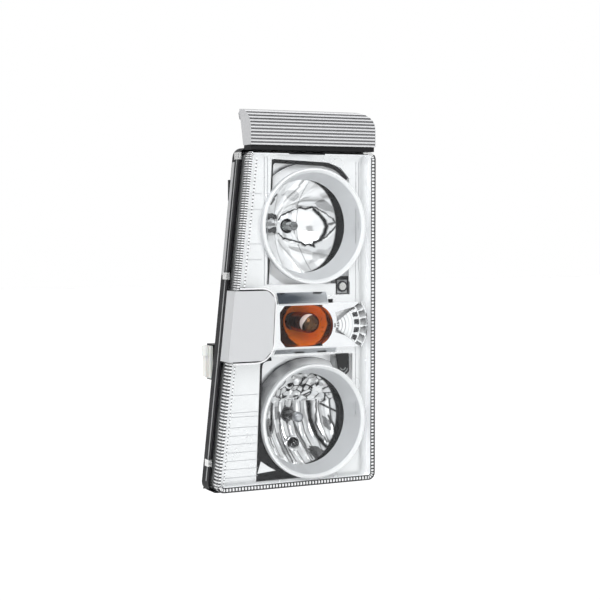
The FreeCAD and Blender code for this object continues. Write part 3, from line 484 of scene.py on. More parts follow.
# the amber colour of this chrome bowl is a painted reflection of the amber bulb; painted shade on the outer
# wall and round the hole comes from the dark values, the dark veins are a pattern, and a faint glow stands in
# for light
AMBER = Paint("amber_chrome", (1.0, 0.235, 0.02), 0.22, 0.2, Coat_Weight=0.4, Emission_Strength=0.12)
AMBER = AMBER.marked("dark", (0.012, 0.005, 0.004), 0.0, 1.0).grain(9, 0.4).material
AMBER_GLASS = clear_film("amber_glass", (1.0, 0.62, 0.30), density=0.06, shine=(0.95, 0.5, 0.25))
# painted highlight: a pale crescent on the amber bulb's tip
GLINT = Paint("painted_glint", (0.95, 0.80, 0.76), 0.3, Subsurface_Weight=0.1).mottle(3, 0.05).material
# the dark grey of the low-beam collar stands in for shade in the bulb hole
COLLAR = Paint("collar_plastic", (0.13, 0.13, 0.135), 0.3, 0.3).mottle(3, 0.2).grain(0.8, 0.02).material
AMBER_BASE = Paint("amber_base", (0.09, 0.03, 0.015), 0.3, 0.4).mottle(2, 0.3).material
BULB_CAP = Paint("bulb_cap", (0.52, 0.53, 0.55), 0.3, 0.6).mottle(3, 0.08).material
FILAMENT = Paint("filament", (0.3, 0.29, 0.28), 0.4, 1.0).mottle(0.5, 0.2).material
# painted reflections: the clear ribs are drawn light grey, with darkened valleys
FLUTES = Paint("lens_flutes", (0.86, 0.865, 0.87), 0.12, Coat_Weight=0.6)
FLUTES = FLUTES.marked("valley", (0.012, 0.012, 0.014)).material
# painted reflections: dark marks on the light grey prisms from the fan's dark values
PRISMS = Paint("fan_prisms", (0.92, 0.925, 0.93), 0.12, 0.35, Coat_Weight=0.5)
PRISMS = PRISMS.marked("dark", (0.02, 0.02, 0.022), 0.0, 1.0).material

FINISHES = {finish.name.split(".")[0]: finish for finish in (
    CLEAR_LENS, RUBBER, CAP, SPRING, ZINC, SILVER, SATIN, CHROME, MIRROR, AMBER, BLACK, DARK, GREY, NYLON,
    BRASS, BULB_GLASS, AMBER_GLASS,
)}

OWN_FINISH = {
    "housing": HOUSING,
    "inner_bezel": BEZEL,
    "upper_shroud": HIGH_DISH,
    "lower_shroud": LOW_DISH,
    "ribbed_trim": RIBS,
    "turn_bulb_base": AMBER_BASE,
}


def finish_cad_nodes():
    """Gives each CAD node the finish of the record's slot it was packed with."""
    for name, node in NODES.items():
        for place in node.material_slots:
            kind = place.material.name.split(".")[0]
            place.material = OWN_FINISH.get(name, FINISHES[kind])


# ---------- lens details

def lens_track(step=0.3):
    """Points (x, z) and outward normals round the lens outline, clockwise from its top right."""
    corners = [
        Vector((LENS_RIGHT, LENS_TOP)),
        Vector((LENS_RIGHT, LENS_BOTTOM)),
        Vector((flank(LENS_BOTTOM), LENS_BOTTOM)),
        Vector((flank(LENS_TOP), LENS_TOP)),
    ]
    track = []
    for i, corner in enumerate(corners):
        before = (corner - corners[i - 1]).normalized()
        following = corners[(i + 1) % 4]
        after = (following - corner).normalized()
        turn = before.angle(after)
        setback = LENS_CORNER * math.tan(turn / 2)
        start_normal = Vector((-before.y, before.x))
        centre = corner - before * setback - start_normal * LENS_CORNER
        first = math.atan2(start_normal.y, start_normal.x)
        count = max(2, round(LENS_CORNER * turn / step))
        for k in range(count):
            angle = first - turn * k / count
            normal = Vector((math.cos(angle), math.sin(angle)))
            track.append((centre + normal * LENS_CORNER, normal))
        end_normal = Vector((-after.y, after.x))
        start = corner + after * setback
        next_turn = after.angle((corners[(i + 2) % 4] - following).normalized())
        end = following - after * LENS_CORNER * math.tan(next_turn / 2)
        count = round((end - start).length / step)
        for k in range(count):
            track.append((start.lerp(end, k / count), end_normal))
    return track


TRACK = lens_track()


def stretch(keep):
    """The run of the lens outline whose points pass the test, in order."""
    kept = [keep(point, normal) for point, normal in TRACK]
    start = next(i for i in range(len(kept)) if kept[i] and not kept[i - 1])
    rolled = TRACK[start:] + TRACK[:start]
    return [entry for entry in rolled if keep(*entry)]


def right_and_bottom(point, normal):
    """Whether a point of the lens outline is on its right or bottom edge, below the top corner."""
    return (normal.x > 0.3 and point.y < LENS_TOP - 3) or normal.y < -0.3


def corrugated(name, run, pitch, height, section, dark_share, material=None, slot="clear_lens"):
    """A band of moulded ribs along a run of the outline, with painted dark reflections in their valleys.

    section(point, normal, rise) gives the two ends of one cross-line; rise is how far the rib stands.
    """
    points = []
    valleys = []
    travelled = 0.0
    for i, (point, normal) in enumerate(run):
        if i:
            travelled += (point - run[i - 1][0]).length
        phase = (travelled / pitch) % 1.0
        swell = math.sin(math.pi * phase)
        ends = section(point, normal, height * swell)
        points.extend(ends)
        edge = min(phase, 1 - phase) * 2
        # painted dark reflection over the dark share of each pitch
        valley = limit((dark_share - edge) / 0.12 + 0.5)
        valleys.extend([valley] * len(ends))
    per_line = len(points) // len(run)
    piece = shape(name, points, grid_faces(len(run), per_line), material or FLUTES, "housing", slot)
    paint(piece, "valley", valleys)
    return piece


def on_face(inset_from, inset_to, depth=1.4):
    """A cross-line lying on the lens face, between two distances in from its edge."""
    def section(point, normal, rise):
        inner = point - normal * inset_to
        outer = point - normal * inset_from
        middle = (inner + outer) / 2
        y = LENS_FACE + depth
        return [
            (outer.x, y, outer.y),
            (middle.x, y - rise, middle.y),
            (inner.x, y, inner.y),
        ]
    return section


def on_flank(y_from, y_to, inset=1.2):
    """A cross-line lying on the lens's side wall, between two depths."""
    def section(point, normal, rise):
        base = point - normal * inset
        crest = point - normal * (inset - rise)
        return [
            (base.x, y_from, base.y),
            (crest.x, y_from * 0.7 + y_to * 0.3, crest.y),
            (crest.x, y_from * 0.3 + y_to * 0.7, crest.y),
            (base.x, y_to, base.y),
        ]
    return section


def lens_ribs():
    """The fluted rim, the dotted corner and ladder of the slanted side, and the column of ticks, with painted
    dark reflections in their valleys.
    """
    def slanted(point, normal):
        return normal.x < -0.5

    def below_plate(point, normal):
        return slanted(point, normal) and point.y < PLATE_LOW.z - 1

    def above_plate(point, normal):
        return slanted(point, normal) and point.y > PLATE_HIGH.z + 1

    # name, run, pitch, height, cross-line and dark share of each band of ribs; the dark share is a painted
    # reflection
    for band in (
        ("rim_flutes", right_and_bottom, 3.9, 0.7, on_face(1.5, 4.9), 0.42),
        ("corner_dots_low", below_plate, 3.8, 0.5, on_face(0.9, 4.2), 0.5),
        ("corner_dots_high", above_plate, 2.8, 0.5, on_face(0.9, 4.6), 0.5),
        ("ladder_low", below_plate, 3.8, 0.8, on_flank(LENS_FACE + 3.2, LENS_FACE + 15), 0.6),
        ("ladder_high", above_plate, 2.8, 0.6, on_flank(LENS_FACE + 3.2, LENS_FACE + 13), 0.62),
        ("ticks_low", below_plate, 4.0, 0.3, on_face(7.0, 8.4), 0.3),
        ("ticks_high", above_plate, 4.0, 0.3, on_face(9.0, 11.0), 0.3),
    ):
        name, keep, *sizes = band
        corrugated(name, stretch(keep), *sizes)


# ---------- reflectors

def stroke(x, z, path, half):
    """1 on a path of points, falling to 0 at half a stroke's width from it."""
    here = Vector((x, z))
    nearest = 1e9
    for start, end in zip(path, path[1:]):
        start = Vector(start)
        along = Vector(end) - start
        share = limit((here - start).dot(along) / along.length_squared)
        nearest = min(nearest, (here - start - along * share).length)
    return limit(1.6 * (1.0 - nearest / half))


def within(x, z, outline):
    """Whether a point lies inside a closed outline."""
    inside = False
    for (ax, az), (bx, bz) in zip(outline, outline[1:] + outline[:1]):
        if (az > z) != (bz > z) and x < ax + (z - az) / (bz - az) * (bx - ax):
            inside = not inside
    return inside


def darkest_stroke(x, z, strokes, widen=1.0):
    """How dark the darkest of some strokes (path, half width, darkness) is at a point."""
    return max(tone * stroke(x, z, path, widen * half) for path, half, tone in strokes)


def darkest_patch(x, z, patches):
    """How dark the darkest of some patches (outline, darkness) is at a point."""
    return max((tone for outline, tone in patches if within(x, z, outline)), default=0.0)


def wobble(x, z, size, shift):
    """Smooth noise between about -1 and 1."""
    return 1.6 * noise.noise(Vector((x / size, z / size, shift)))


def rim_shadow(x, z):
    """The painted shadow: a dark crescent where the ring's throat shades the bowl's inner side."""
    thin, thick = 2.2, 6.5
    soft = 1.2
    start = BOWL_RIM - thin - thick * max(0.0, x / BOWL_RIM) ** 2
    return limit((math.hypot(x, z) - start) / soft) if x > 5 else 0.0


# strokes are a path of (x, z) points from the bowl's middle, half the width, and the darkness;
# greys are an outline of such points and the darkness; both are painted dark reflections on the mirror
HIGH_SEAM_REFLECTIONS = (
    ([(11.5, 52), (10.6, 35), (10.5, 16), (11, 0), (11.3, -18), (12.7, -30), (13.5, -52)], 0.7, 0.6),
    ([(-24, 44), (-21.8, 30), (-18, 6), (-18.4, -17), (-20.5, -34), (-22, -50)], 0.7, 0.6),
)
LEAF_STROKES = (
    ([(-12, 6.5), (-9, 12), (3, 18.5), (14.5, 22)], 1.2, 1.0),
    ([(14.5, 22), (19, 20.3), (23.5, 21.6), (27, 22.8), (28.5, 19)], 1.9, 1.0),
    ([(28.5, 19.6), (35, 13.3), (40, 6.3), (42, -0.7), (40, -8.8), (35, -17), (28, -20)], 2.9, 1.0),
    ([(-12, -8.8), (-6.5, -14.7), (6, -17.7), (15.5, -20.5)], 1.4, 1.0),
    ([(15.5, -20.5), (19, -23), (23.5, -21.4), (28, -25), (28, -20)], 1.9, 1.0),
    ([(29, 22.6), (39.5, 15.6), (47, 8.6), (51, 1.2), (47, -5.3), (41.5, -12.3), (35, -18)], 1.2, 0.95),
    ([(44, 2), (50, 4), (54, 3)], 2.2, 0.85),
)
HIGH_GREYS = (
    ([(-17, 37), (-8, 42), (3, 42), (9.5, 35), (5, 30), (-4, 32)], 0.34),
    ([(27, 27), (35, 31), (46, 23), (50, 15), (39, 18)], 0.50),
    ([(27, -31), (45, -24), (38, -35), (24, -42), (14, -47)], 0.30),
    ([(-54, 17), (-17, 14), (-15, 8), (-54, 8)], 0.92),
    ([(-54, 5), (-17, 5), (-17, 0), (-54, 0)], 0.50),
    ([(-54, -3), (-15, -2), (-15, -8), (-54, -9)], 0.93),
    ([(-33, 26), (-28, 40), (-24, 38), (-27, 33), (-25, 30), (-28, 25)], 0.92),
    ([(-50, -16), (-40, -20), (-30, -44), (-37, -42)], 0.30),
    ([(-50, 20), (-42, 24), (-36, 40), (-40, 40)], 0.30),
)


def high_relief(x, z):
    """Broad facets with painted dark reflections at their seams, painted grey and dark reflection patches,
    the painted jagged black line along the step of the leaf-shaped window, and the painted throat shadow.
    """
    facets = 9
    facet_rise = 0.5
    blunt_left, blunt_right = 0.30, 0.62
    slope, level_until = 0.10, 5.0      # the leaf rises to the left and is level left of this x
    start, run = -14.0, 18.0            # it begins at this x and is full after this length

    sector = (math.atan2(z, x) / (2 * math.pi) * facets + 0.3) % 1.0
    share = math.hypot(x, z) / BOWL_RIM
    rise = facet_rise * share * math.sin(math.pi * sector)
    dark = max(darkest_stroke(x, z, HIGH_SEAM_REFLECTIONS), rim_shadow(x, z))
    across = (x - LEAF_X) / LEAF_LONG
    tall = LEAF_TALL * max(0.0, 1 - across * across) ** (blunt_left if across < 0 else blunt_right)
    if abs(across) < 1 and abs(z) < tall:
        rise += slope * (LEAF_X + LEAF_LONG - max(x, level_until)) * min(1.0, (x - start) / run)
    else:
        shift_x = 1.6 * wobble(x, z, 7, 2.0)
        shift_z = 1.6 * wobble(x, z, 7, 9.0)
        dark = max(dark, darkest_patch(x + shift_x, z + shift_z, HIGH_GREYS))
    return rise, max(dark, darkest_stroke(x, z + 0.7 * wobble(x, z, 2.5, 3.0), LEAF_STROKES))


LOW_STROKES = (
    ([(17, 34), (20, 26), (25, 10), (26.5, -4), (30, -24), (36, -38)], 2.6, 1.0),
    ([(-28, 22), (-25, 13), (-24, -6), (-28, -16)], 2.6, 1.0),
    ([(36, 13), (49.7, 4.5), (57, -3)], 1.1, 1.0),
    ([(31, 18), (33, 2), (31, -12), (38, -32)], 1.0, 0.9),
    ([(6, 12), (9, -10), (14, -34), (16, -50)], 1.1, 0.8),
    ([(-12, -12), (-13, -30), (-10, -52)], 1.2, 0.9),
    ([(-36, 18), (-36, -8), (-32, -34)], 1.0, 0.85),
    ([(44, -2), (48, -14), (45, -26)], 1.3, 0.9),
)
LOW_GREYS = (
    ([(37, -1), (47, -9), (45, -23), (39, -12)], 0.72),
    ([(-42, -3), (-24, -2), (-20, -13), (-29, -24), (-42, -20)], 0.72),
    ([(-34, 26), (-27, 26), (-28, 2), (-36, 2)], 0.45),
    ([(-20, -22), (-15, -20), (-13, -44), (-19, -44)], 0.55),
    ([(16, -40), (24, -38), (27, -50), (20, -54)], 0.90),
    ([(18, -36), (28, -38), (34, -44), (22, -50)], 0.85),
    ([(-20, 10), (-12, 12), (-13, -4), (-19, -6)], 0.45),
)


def low_relief(x, z):
    """Cobbled facets over the upper third, and upright flutes below them, with painted dark reflections at
    seams, creases, some cobbles and listed strokes and patches, and the painted throat shadow.
    """
    cobble_wide, cobble_tall = 9.5, 8.5
    cobble_rise = 2.0
    flute_pitch = 9.5
    flute_rise = 2.2

    split = 17.0 + 4.0 * noise.noise(Vector((x * 0.15, 0, 5.0)))
    dark = rim_shadow(x, z)
    if z > split:
        depth = 2.0 + 0.3 * wobble(x, z, 9, 4.0)
        distances, _ = noise.voronoi(Vector((x / cobble_wide, z / cobble_tall, depth)))
        seam = distances[1] - distances[0]
        width = 0.15 + 0.13 * wobble(x, z, 8, 6.0)
        dark = max(dark, limit(1.6 * (1.0 - seam / max(0.03, width))))
        # painted dark reflections in some cobbles
        if wobble(x, z, 7, 12.0) > 0.55:
            dark = max(dark, 0.45)
        return cobble_rise * (0.55 - distances[0]), dark
    lean = x + 0.12 * z + 0.8 * wobble(x, z, 16, 3.0)
    phase = (lean / flute_pitch + 0.2) % 1.0
    width = 0.07 + 0.10 * max(0.0, wobble(x, z, 20, 8.0))
    dark = max(
        dark,
        0.9 * limit(1.7 * (1.0 - min(phase, 1 - phase) / width)),
        darkest_stroke(x + 0.6 * wobble(x, z, 6, 1.0), z, LOW_STROKES, 1.5),
        darkest_patch(x + wobble(x, z, 6, 2.0), z + wobble(x, z, 6, 5.0), LOW_GREYS),
    )
    return flute_rise * math.sin(math.pi * phase), dark


def reflector(name, body, axis, relief, hole=None):
    """A mirrored face just in front of a CAD bowl, with an optional hole (x, z, radius); the relief gives its
    painted reflections and shadow.
    """
    rings, spokes = 111, 360
    plain_rim = 9.0

    def spot(ring, spoke):
        radius = BOWL_HOLE + (BOWL_RIM - BOWL_HOLE) * ring / (rings - 1)
        x, z = around(radius, 2 * math.pi * spoke / spokes)
        rise, dark = relief(x, z)
        rise *= min(1.0, (BOWL_RIM - radius) / plain_rim)
        return (x, BOWL_APEX - radius * radius / (4 * BOWL_FOCAL) - rise, axis + z), dark

    def keep(corners):
        x = sum(corner[0] for corner in corners) / 4 - hole[0]
        z = sum(corner[2] - axis for corner in corners) / 4 - hole[1]
        return math.hypot(x, z) > hole[2]

    surface(name, rings, spokes, spot, MIRROR, "mirror_bowl", body, closed=True, keep=hole and keep)


# ---------- bulbs

def filament(name, x, z, start, end, radius, body):
    """A coiled wire between two posts inside a bulb."""
    turns = 9
    path = []
    for k in range(turns * 10 + 1):
        share = k / (turns * 10)
        angle = 2 * math.pi * turns * share
        middle = (start + end) / 2
        path.append(Vector((
            x + (share - 0.5) * radius * 1.2,
            middle + 0.7 * math.cos(angle),
            z + 0.7 * math.sin(angle),
        )))
    points, faces = tube(path, 0.16, 5)
    for side in (-0.6, 0.6):
        post = [Vector((x + side * radius, end + (start - end) * 0.2 * k, z)) for k in range(6)]
        merge(points, faces, *tube(post[::-1], 0.28, 6))
    return shape(name, points, faces, FILAMENT, body, "zinc_steel")


def bulbs():
    """Filaments, the painted tip of the low-beam bulb, dark collars round the high and low bulb holes as
    painted shade in those holes, and the position lamp's black socket with a bright collar.
    """
    filament("high_filament", 0, HIGH_AXIS, -66, -54, 3.2, "high_beam")
    filament("low_filament", 0, LOW_AXIS, -76, -54, 3.6, "low_beam")
    filament("turn_filament", 0, 0, -104, -84, 5.0, "turn_lamp")
    low, high = box_mm("low_bulb_glass")
    outside = high.x + 0.15
    tip = [(0.05, low.y - 0.2), (outside * 0.55, low.y - 0.15), (outside * 0.85, low.y + 1.0),
           (outside, low.y + 3.2), (outside, low.y + 8.0), (outside - 0.3, low.y + 8.2)]
    lathe("low_bulb_tip", tip, 0, LOW_AXIS, BULB_CAP, "low_beam", "bulb_glass", 48)
    # painted shade: the dark collars widen the dark look of the bulb holes
    for name, axis, body, wide in (
        ("high_collar", HIGH_AXIS, "high_beam", 9.2),
        ("low_collar", LOW_AXIS, "low_beam", 12.6),
    ):
        collar = [(5.4, -50.2), (6.3, -52.6), (7.2, -53.6)]
        collar += [(wide - 1.6, -53.8), (wide - 0.6, -53.0), (wide, -51.6)]
        lathe(name, collar, 0, axis, BLACK if wide < 10 else COLLAR, body, "dark_plastic", 64)
    depth = BOWL_APEX - (POSITION_AXIS - LOW_AXIS) ** 2 / (4 * BOWL_FOCAL)
    for name, profile, material in (
        ("position_socket", ((5.7, 4.0), (5.9, -3.4), (6.6, -4.2), (7.4, -3.9), (7.8, -3.4)), BLACK),
        ("position_collar", ((7.8, -3.4), (8.6, -3.2), (9.4, 1.0)), CHROME),
    ):
        ring = [(radius, depth + y) for radius, y in profile]
        lathe(name, ring, 0, POSITION_AXIS, material, "low_beam", "mirror_bowl", 64)


# ---------- turn lamp

AMBER_DEPTH = 50.0
AMBER_HOLE = 9.5
DISC_WIDE = 28.0           # the lit disc in the bowl: half width, half height, and its middle's x at the
DISC_TALL = 25.5           # mouth and how that moves per unit of depth, so the outer wall stays dark
DISC_X = -9.5
DISC_LEAN = 0.51


def amber_bowl():
    """The amber bowl, round at its hole and four-sided at its mouth, with painted shade on its outer wall and
    round its hole, dark veins, its dark back and the sleeve.
    """
    rings = 44
    spokes = 120
    middle = Vector(((BOWL_LOW.x + BOWL_HIGH.x) / 2, -2.0))
    half = Vector(((BOWL_HIGH.x - BOWL_LOW.x) / 2 - 1.2, 24.0))
    front = BOWL_LOW.y
    points = []
    darkness = []
    for ring in range(rings + 1):
        share = ring / rings
        for spoke in range(spokes):
            angle = 2 * math.pi * spoke / spokes
            across = math.cos(angle)
            up = math.sin(angle)
            power = 4.5 if across < 0 else 2.3
            reach = (abs(across) ** power + abs(up) ** power) ** (-1 / power)
            mouth = middle + Vector((across * half.x, up * half.y)) * reach
            hole = Vector((across, up)) * AMBER_HOLE
            place = hole.lerp(mouth, math.sin(share * math.pi / 2) ** 0.9)
            y = front + AMBER_DEPTH * (1 - share) ** 0.62 * (1 - 0.25 * share)
            ripple = 0.8 * noise.noise(Vector((place.x / 9, place.y / 9, 1.0))) * math.sin(math.pi * share)
            points.append((place.x, y + ripple, place.y))
            vein = abs(noise.noise(Vector((place.x / 11, place.y / 11, 7.0))))
            sideways = place.x - DISC_X - DISC_LEAN * (y - front)
            reach = math.hypot(sideways / DISC_WIDE, (place.y + 1) / DISC_TALL)
            # painted shade on the outer wall outside the lit disc, and round the hole
            wall = limit((reach - 1 + 0.03 * wobble(place.x, place.y, 6, 3.0)) / 0.035)
            socket = limit((0.05 - share) / 0.03)
            darkness.append(max(0.97 * wall, 0.6 * max(0.0, 1 - vein / 0.02), socket))
    faces = grid_faces(rings + 1, spokes, closed=True)
    piece = shape("amber_bowl", points, faces, AMBER, "housing", "amber_chrome")
    paint(piece, "dark", darkness)
    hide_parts("turn_bowl")
    wall_thick = 1.4
    behind = 0.9
    back = []
    for x, y, z in points:
        away = Vector((x, z)).normalized() * wall_thick
        back.append((x + away.x, y + behind, z + away.y))
    shape("amber_bowl_back", back, [tuple(reversed(face)) for face in faces], DARK, "housing", "amber_chrome")
    sleeve = [(7.7, -78), (8.2, -84), (9.0, -93), (9.4, -94), (10.2, -93), (10.6, -90)]
    sleeve += [(10.0, -89), (10.6, -88), (10.0, -87), (10.6, -86), (10.6, -72)]
    lathe("turn_sleeve", sleeve, 0, 0, BLACK, "turn_lamp", "dark_plastic", 64)


def bulb_glint():
    """A painted highlight: a pale crescent piece on the upper left of the amber bulb's tip."""
    low, high = box_mm("turn_bulb_glass")
    radius = high.x + 0.15
    centre = Vector((0, low.y + high.x, 0))
    right = Vector((math.cos(CAMERA_AZIMUTH), math.sin(CAMERA_AZIMUTH), 0))
    ahead = Vector((math.sin(CAMERA_AZIMUTH), -math.cos(CAMERA_AZIMUTH), 0))
    rows, columns = 33, 5
    first, sweep = 66, 158
    widest, outer = 36, 64
    points = []
    for row in range(rows):
        share = row / (rows - 1)
        turn = math.radians(first + sweep * share)
        side = right * math.cos(turn) + Vector((0, 0, math.sin(turn)))
        width = widest * math.sin(math.pi * share) ** 0.8 + 0.5
        for column in range(columns):
            tilt = math.radians(outer - width * column / (columns - 1))
            points.append(centre + radius * (ahead * math.cos(tilt) + side * math.sin(tilt)))
    shape("turn_glint", points, grid_faces(rows, columns), GLINT, "turn_lamp", "amber_glass")


def fan():
    """The clear fan: concentric ridges near its point and two rows of prisms round its rim, with painted dark
    reflections on them.
    """
    rings, spokes = 96, 120
    back = TRAY_LOW.y - 0.1
    first_prism = FAN_RADIUS * 0.62
    block_split = FAN_RADIUS * 0.80
    ridge_pitch = 4.4

    def ridge_at(radius, spoke):
        phase = (radius / ridge_pitch) % 1.0
        # painted dark reflections: a spot near the point and the back of each ridge
        mark = 0.85 if radius < 8 and phase > 0.35 and spoke % 40 < 26 else 0.0
        return 0.9 * phase, max(0.75 if phase > 0.86 else 0.0, mark)

    def prism_at(radius, spoke, share):
        outer = radius > block_split
        block = (share * (2.6 if outer else 2.1) + 0.15) % 1.0
        inside = min(block, 1 - block) * 2
        near, far = (block_split, FAN_RADIUS) if outer else (first_prism, block_split)
        depth = 1 - abs(2 * (radius - near) / (far - near) - 1)
        lean = inside + 0.2 * wobble(radius, spoke * 0.4, 4, 3.0)
        # painted dark reflections on the prism blocks
        if outer:
            dark = (0.45 + 0.6 * block) if lean > 0.22 and depth > 0.16 else 0.0
        else:
            dark = 1.0 if lean > 0.34 and depth > 0.12 else 0.0
        return 2.0 * min(1.0, inside * 3) * min(1.0, depth * 3), dark

    def spot(ring, spoke):
        radius = 3.0 + (FAN_RADIUS - 3.0) * ring / rings
        share = 2 * spoke / spokes - 1
        rise, dark = ridge_at(radius, spoke) if radius < first_prism else prism_at(radius, spoke, share)
        place = FAN_CENTRE + around(radius, FAN_HALF_ANGLE * share)
        return (place.x, back - rise, place.y), dark

    piece = surface("fan_prisms", rings + 1, spokes + 1, spot, PRISMS, "clear_lens")
    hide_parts("fan_reflector")
    rim = []
    for k in range(49):
        rim.append(FAN_CENTRE + around(FAN_RADIUS, FAN_HALF_ANGLE * (2 * k / 48 - 1)))
    ribbon("fan_rim", rim[::-1], -0.2, 1.1, back, 2.4, CHROME, "chromed_plastic")


def tray_details():
    """Small dark slots along the tray's edges, and the slopes above and below the amber bowl, with painted
    shade that is darker to the left.
    """
    top = TRAY_HIGH.z - 1.6
    bottom = TRAY_LOW.z + 0.4
    front = TRAY_LOW.y + 3.4
    spots = ((-43, top, 6), (0, top, 11), (-24, bottom, 12), (6, bottom, 11))
    slots = [(x, front, z, width, 1.2, 1.3) for x, z, width in spots]
    bars("tray_slots", slots, BLACK, "black_plastic")
    for name, left, right, start, end, shade_depth in (
        ("tray_slope_top", -46.6, 17.6, 22.9, 36.9, 1.25),
        ("tray_slope_bottom", -49.6, 29.6, -27.1, -34.1, 0.7),
    ):
        rows, columns = 9, 25

        def spot(row, column):
            rise = row / (rows - 1)
            share = column / (columns - 1)
            y = TRAY_LOW.y + (TRAY_HIGH.y - TRAY_LOW.y) * rise - 0.2
            crown = 0.75 + 0.3 * math.sin(math.pi * rise)
            point = (left + (right - left) * share, y, start + (end - start) * rise)
            # painted shade: darker to the left and across the middle of the slope
            return point, min(1.0, shade_depth * (1 - 0.6 * share) * crown)

        surface(name, rows, columns, spot, SLOPE, "chromed_plastic", flip=end < start)


# ---------- bezel and plate details

def window_panel(name, axis, low, high):
    """The dish carried on behind a bezel window, out to its corners, with painted shade close to the ring's
    upper side and a painted dark streak round the ring.
    """
    opening = 71.0
    shade = 73.0
    streak_at = 72.8
    steps = 120
    rows = 9
    y = BEZEL_HIGH.y + 0.7

    def spot(row, step):
        share = row / (rows - 1)
        across, up = around(1, 2 * math.pi * step / steps)
        reach_x = ((high.x if across > 0 else low.x) / across) if abs(across) > 1e-6 else 1e6
        reach_z = (((high.y if up > 0 else low.y) - axis) / up) if abs(up) > 1e-6 else 1e6
        outer = min(reach_x, reach_z)
        inner = min(opening, outer - 0.5)
        radius = inner + (outer - inner) * share
        # painted shade near the ring towards its upper left, and a painted dark streak over its upper part
        band = max(0.0, 1 - max(0.0, radius - shade) / 7) * max(0.0, up) ** 0.5
        band *= max(0.0, 0.45 - across)
        streak = max(0.0, 1 - abs(radius - streak_at) / 1.3) * limit(3 * (up - 0.1))
        dark = min(1.0, 0.95 * band + 0.95 * streak)
        return (radius * across, y - 0.5 * share, axis + radius * up), dark

    surface(name, rows, steps, spot, DISH, "chromed_plastic", closed=True)


def window_edges():
    """The black strips just inside the bezel's windows, and the bright fillet in the lower corner."""
    y = BEZEL_LOW.y + 3.2
    for name, spots in (
        ("upper_edge_low", ((-59.2, 47), (-57.8, 78))),
        ("upper_edge_high", ((-55, 152), (-53.2, 189.6), (20, 186.6), (36, 180.6), (47.4, 168.6))),
        ("lower_edge", ((-72.6, -179), (-67.6, -43), (-60, -37.8), (-52, -37.6))),
    ):
        ribbon(name, rounded([Vector(spot) for spot in spots], 8), -4.0, 0.8, y, 0.8, BLACK, "black_plastic")
    corner = [(-72, -179), (-10, -179), (-22, -171.5), (-40, -160.5), (-52, -146.5)]
    corner += [(-60, -128), (-66, -112), (-69, -112)]
    plate("lower_corner", corner, y - 1.0, y - 0.2, BLACK, "black_plastic")
    fillet = [(-66, -157), (-70.5, -171), (-47, -169), (-56, -164)]
    bevelled(plate("corner_fillet", fillet, y - 1.5, y - 1.1, BEZEL, "chromed_plastic"), 0.15)


def screw_posts():
    """The black surround and dark seat of the upper screw; the lower post's black cover, which stands in for
    the shade of its recess, and its grey arcs, which are painted highlights.
    """
    y = BEZEL_LOW.y + 1.0
    low, high = box_mm("bezel_screws")
    x = (low.x + high.x) / 2
    top = high.z - 4.5
    bottom = low.z + 4.5
    surround = [(x + side, y, top - 8, 2.4, 0.8, 18) for side in (-9, 6.6)]
    surround.append((x - 9, y, top + 7.6, 18, 0.8, 4.4))
    bars("post_surround", surround, BLACK, "black_plastic")
    seat = [(4.6, y + 0.4), (4.8, y - 1.6), (5.6, y - 1.9), (6.3, y - 1.6), (6.5, y + 0.4)]
    lathe("post_seat", seat, x, top, DARK, "housing", "dark_plastic", 48)
    # painted shade: a black cover where the lower post's recess is in shade, with grey arcs as painted
    # highlights
    cover = [(x - 10, bottom + 12.6), (x + 8, bottom + 12.6), (x + 8.6, bottom - 9)]
    cover += [(x + 3, bottom - 14), (x - 6, bottom - 9)]
    bevelled(plate("post_cover", cover, y - 2.0, y - 1.4, BLACK, "black_plastic"), 0.4)
    for name, reach in (("post_arc_outer", 6.6), ("post_arc_inner", 3.8)):
        arc = []
        for k in range(13):
            angle = math.radians(205 + 130 * k / 12)
            arc.append(Vector((x + reach * math.cos(angle), bottom - 2 + 1.3 * reach * math.sin(angle))))
        ribbon(name, arc, -0.4, 0.4, y - 2.0, 0.4, GREY, "grey_plastic")


def flank_bands():
    """Raised light grey strips along the housing's slanted side; their light colour is a painted highlight on
    the black housing.
    """
    rim = 3.0
    full = [Vector((flank(z) - rim, z)) for z in (-176, -60, 60, 190)]
    upper = [Vector((flank(z) - rim, z)) for z in (58, 110, 150, 186)]
    # painted highlights: light grey strips on the black flank
    ribbon("flank_rail", full, -0.3, 0.35, LENS_FACE + 27.0, 1.2, GREY, "grey_plastic")
    ribbon("flank_band", upper, -0.3, 0.5, LENS_FACE + 37.5, 6.0, GREY, "grey_plastic")


REAR_WALL = -4.0           # y of the housing's rear wall
TOWER_RADIUS = 36.0        # outer radius of the two towers the caps sit on
WEB_FACES = ((0, 1, 3, 2), (4, 6, 7, 5), (0, 4, 5, 1), (2, 3, 7, 6), (1, 5, 7, 3), (0, 2, 6, 4))


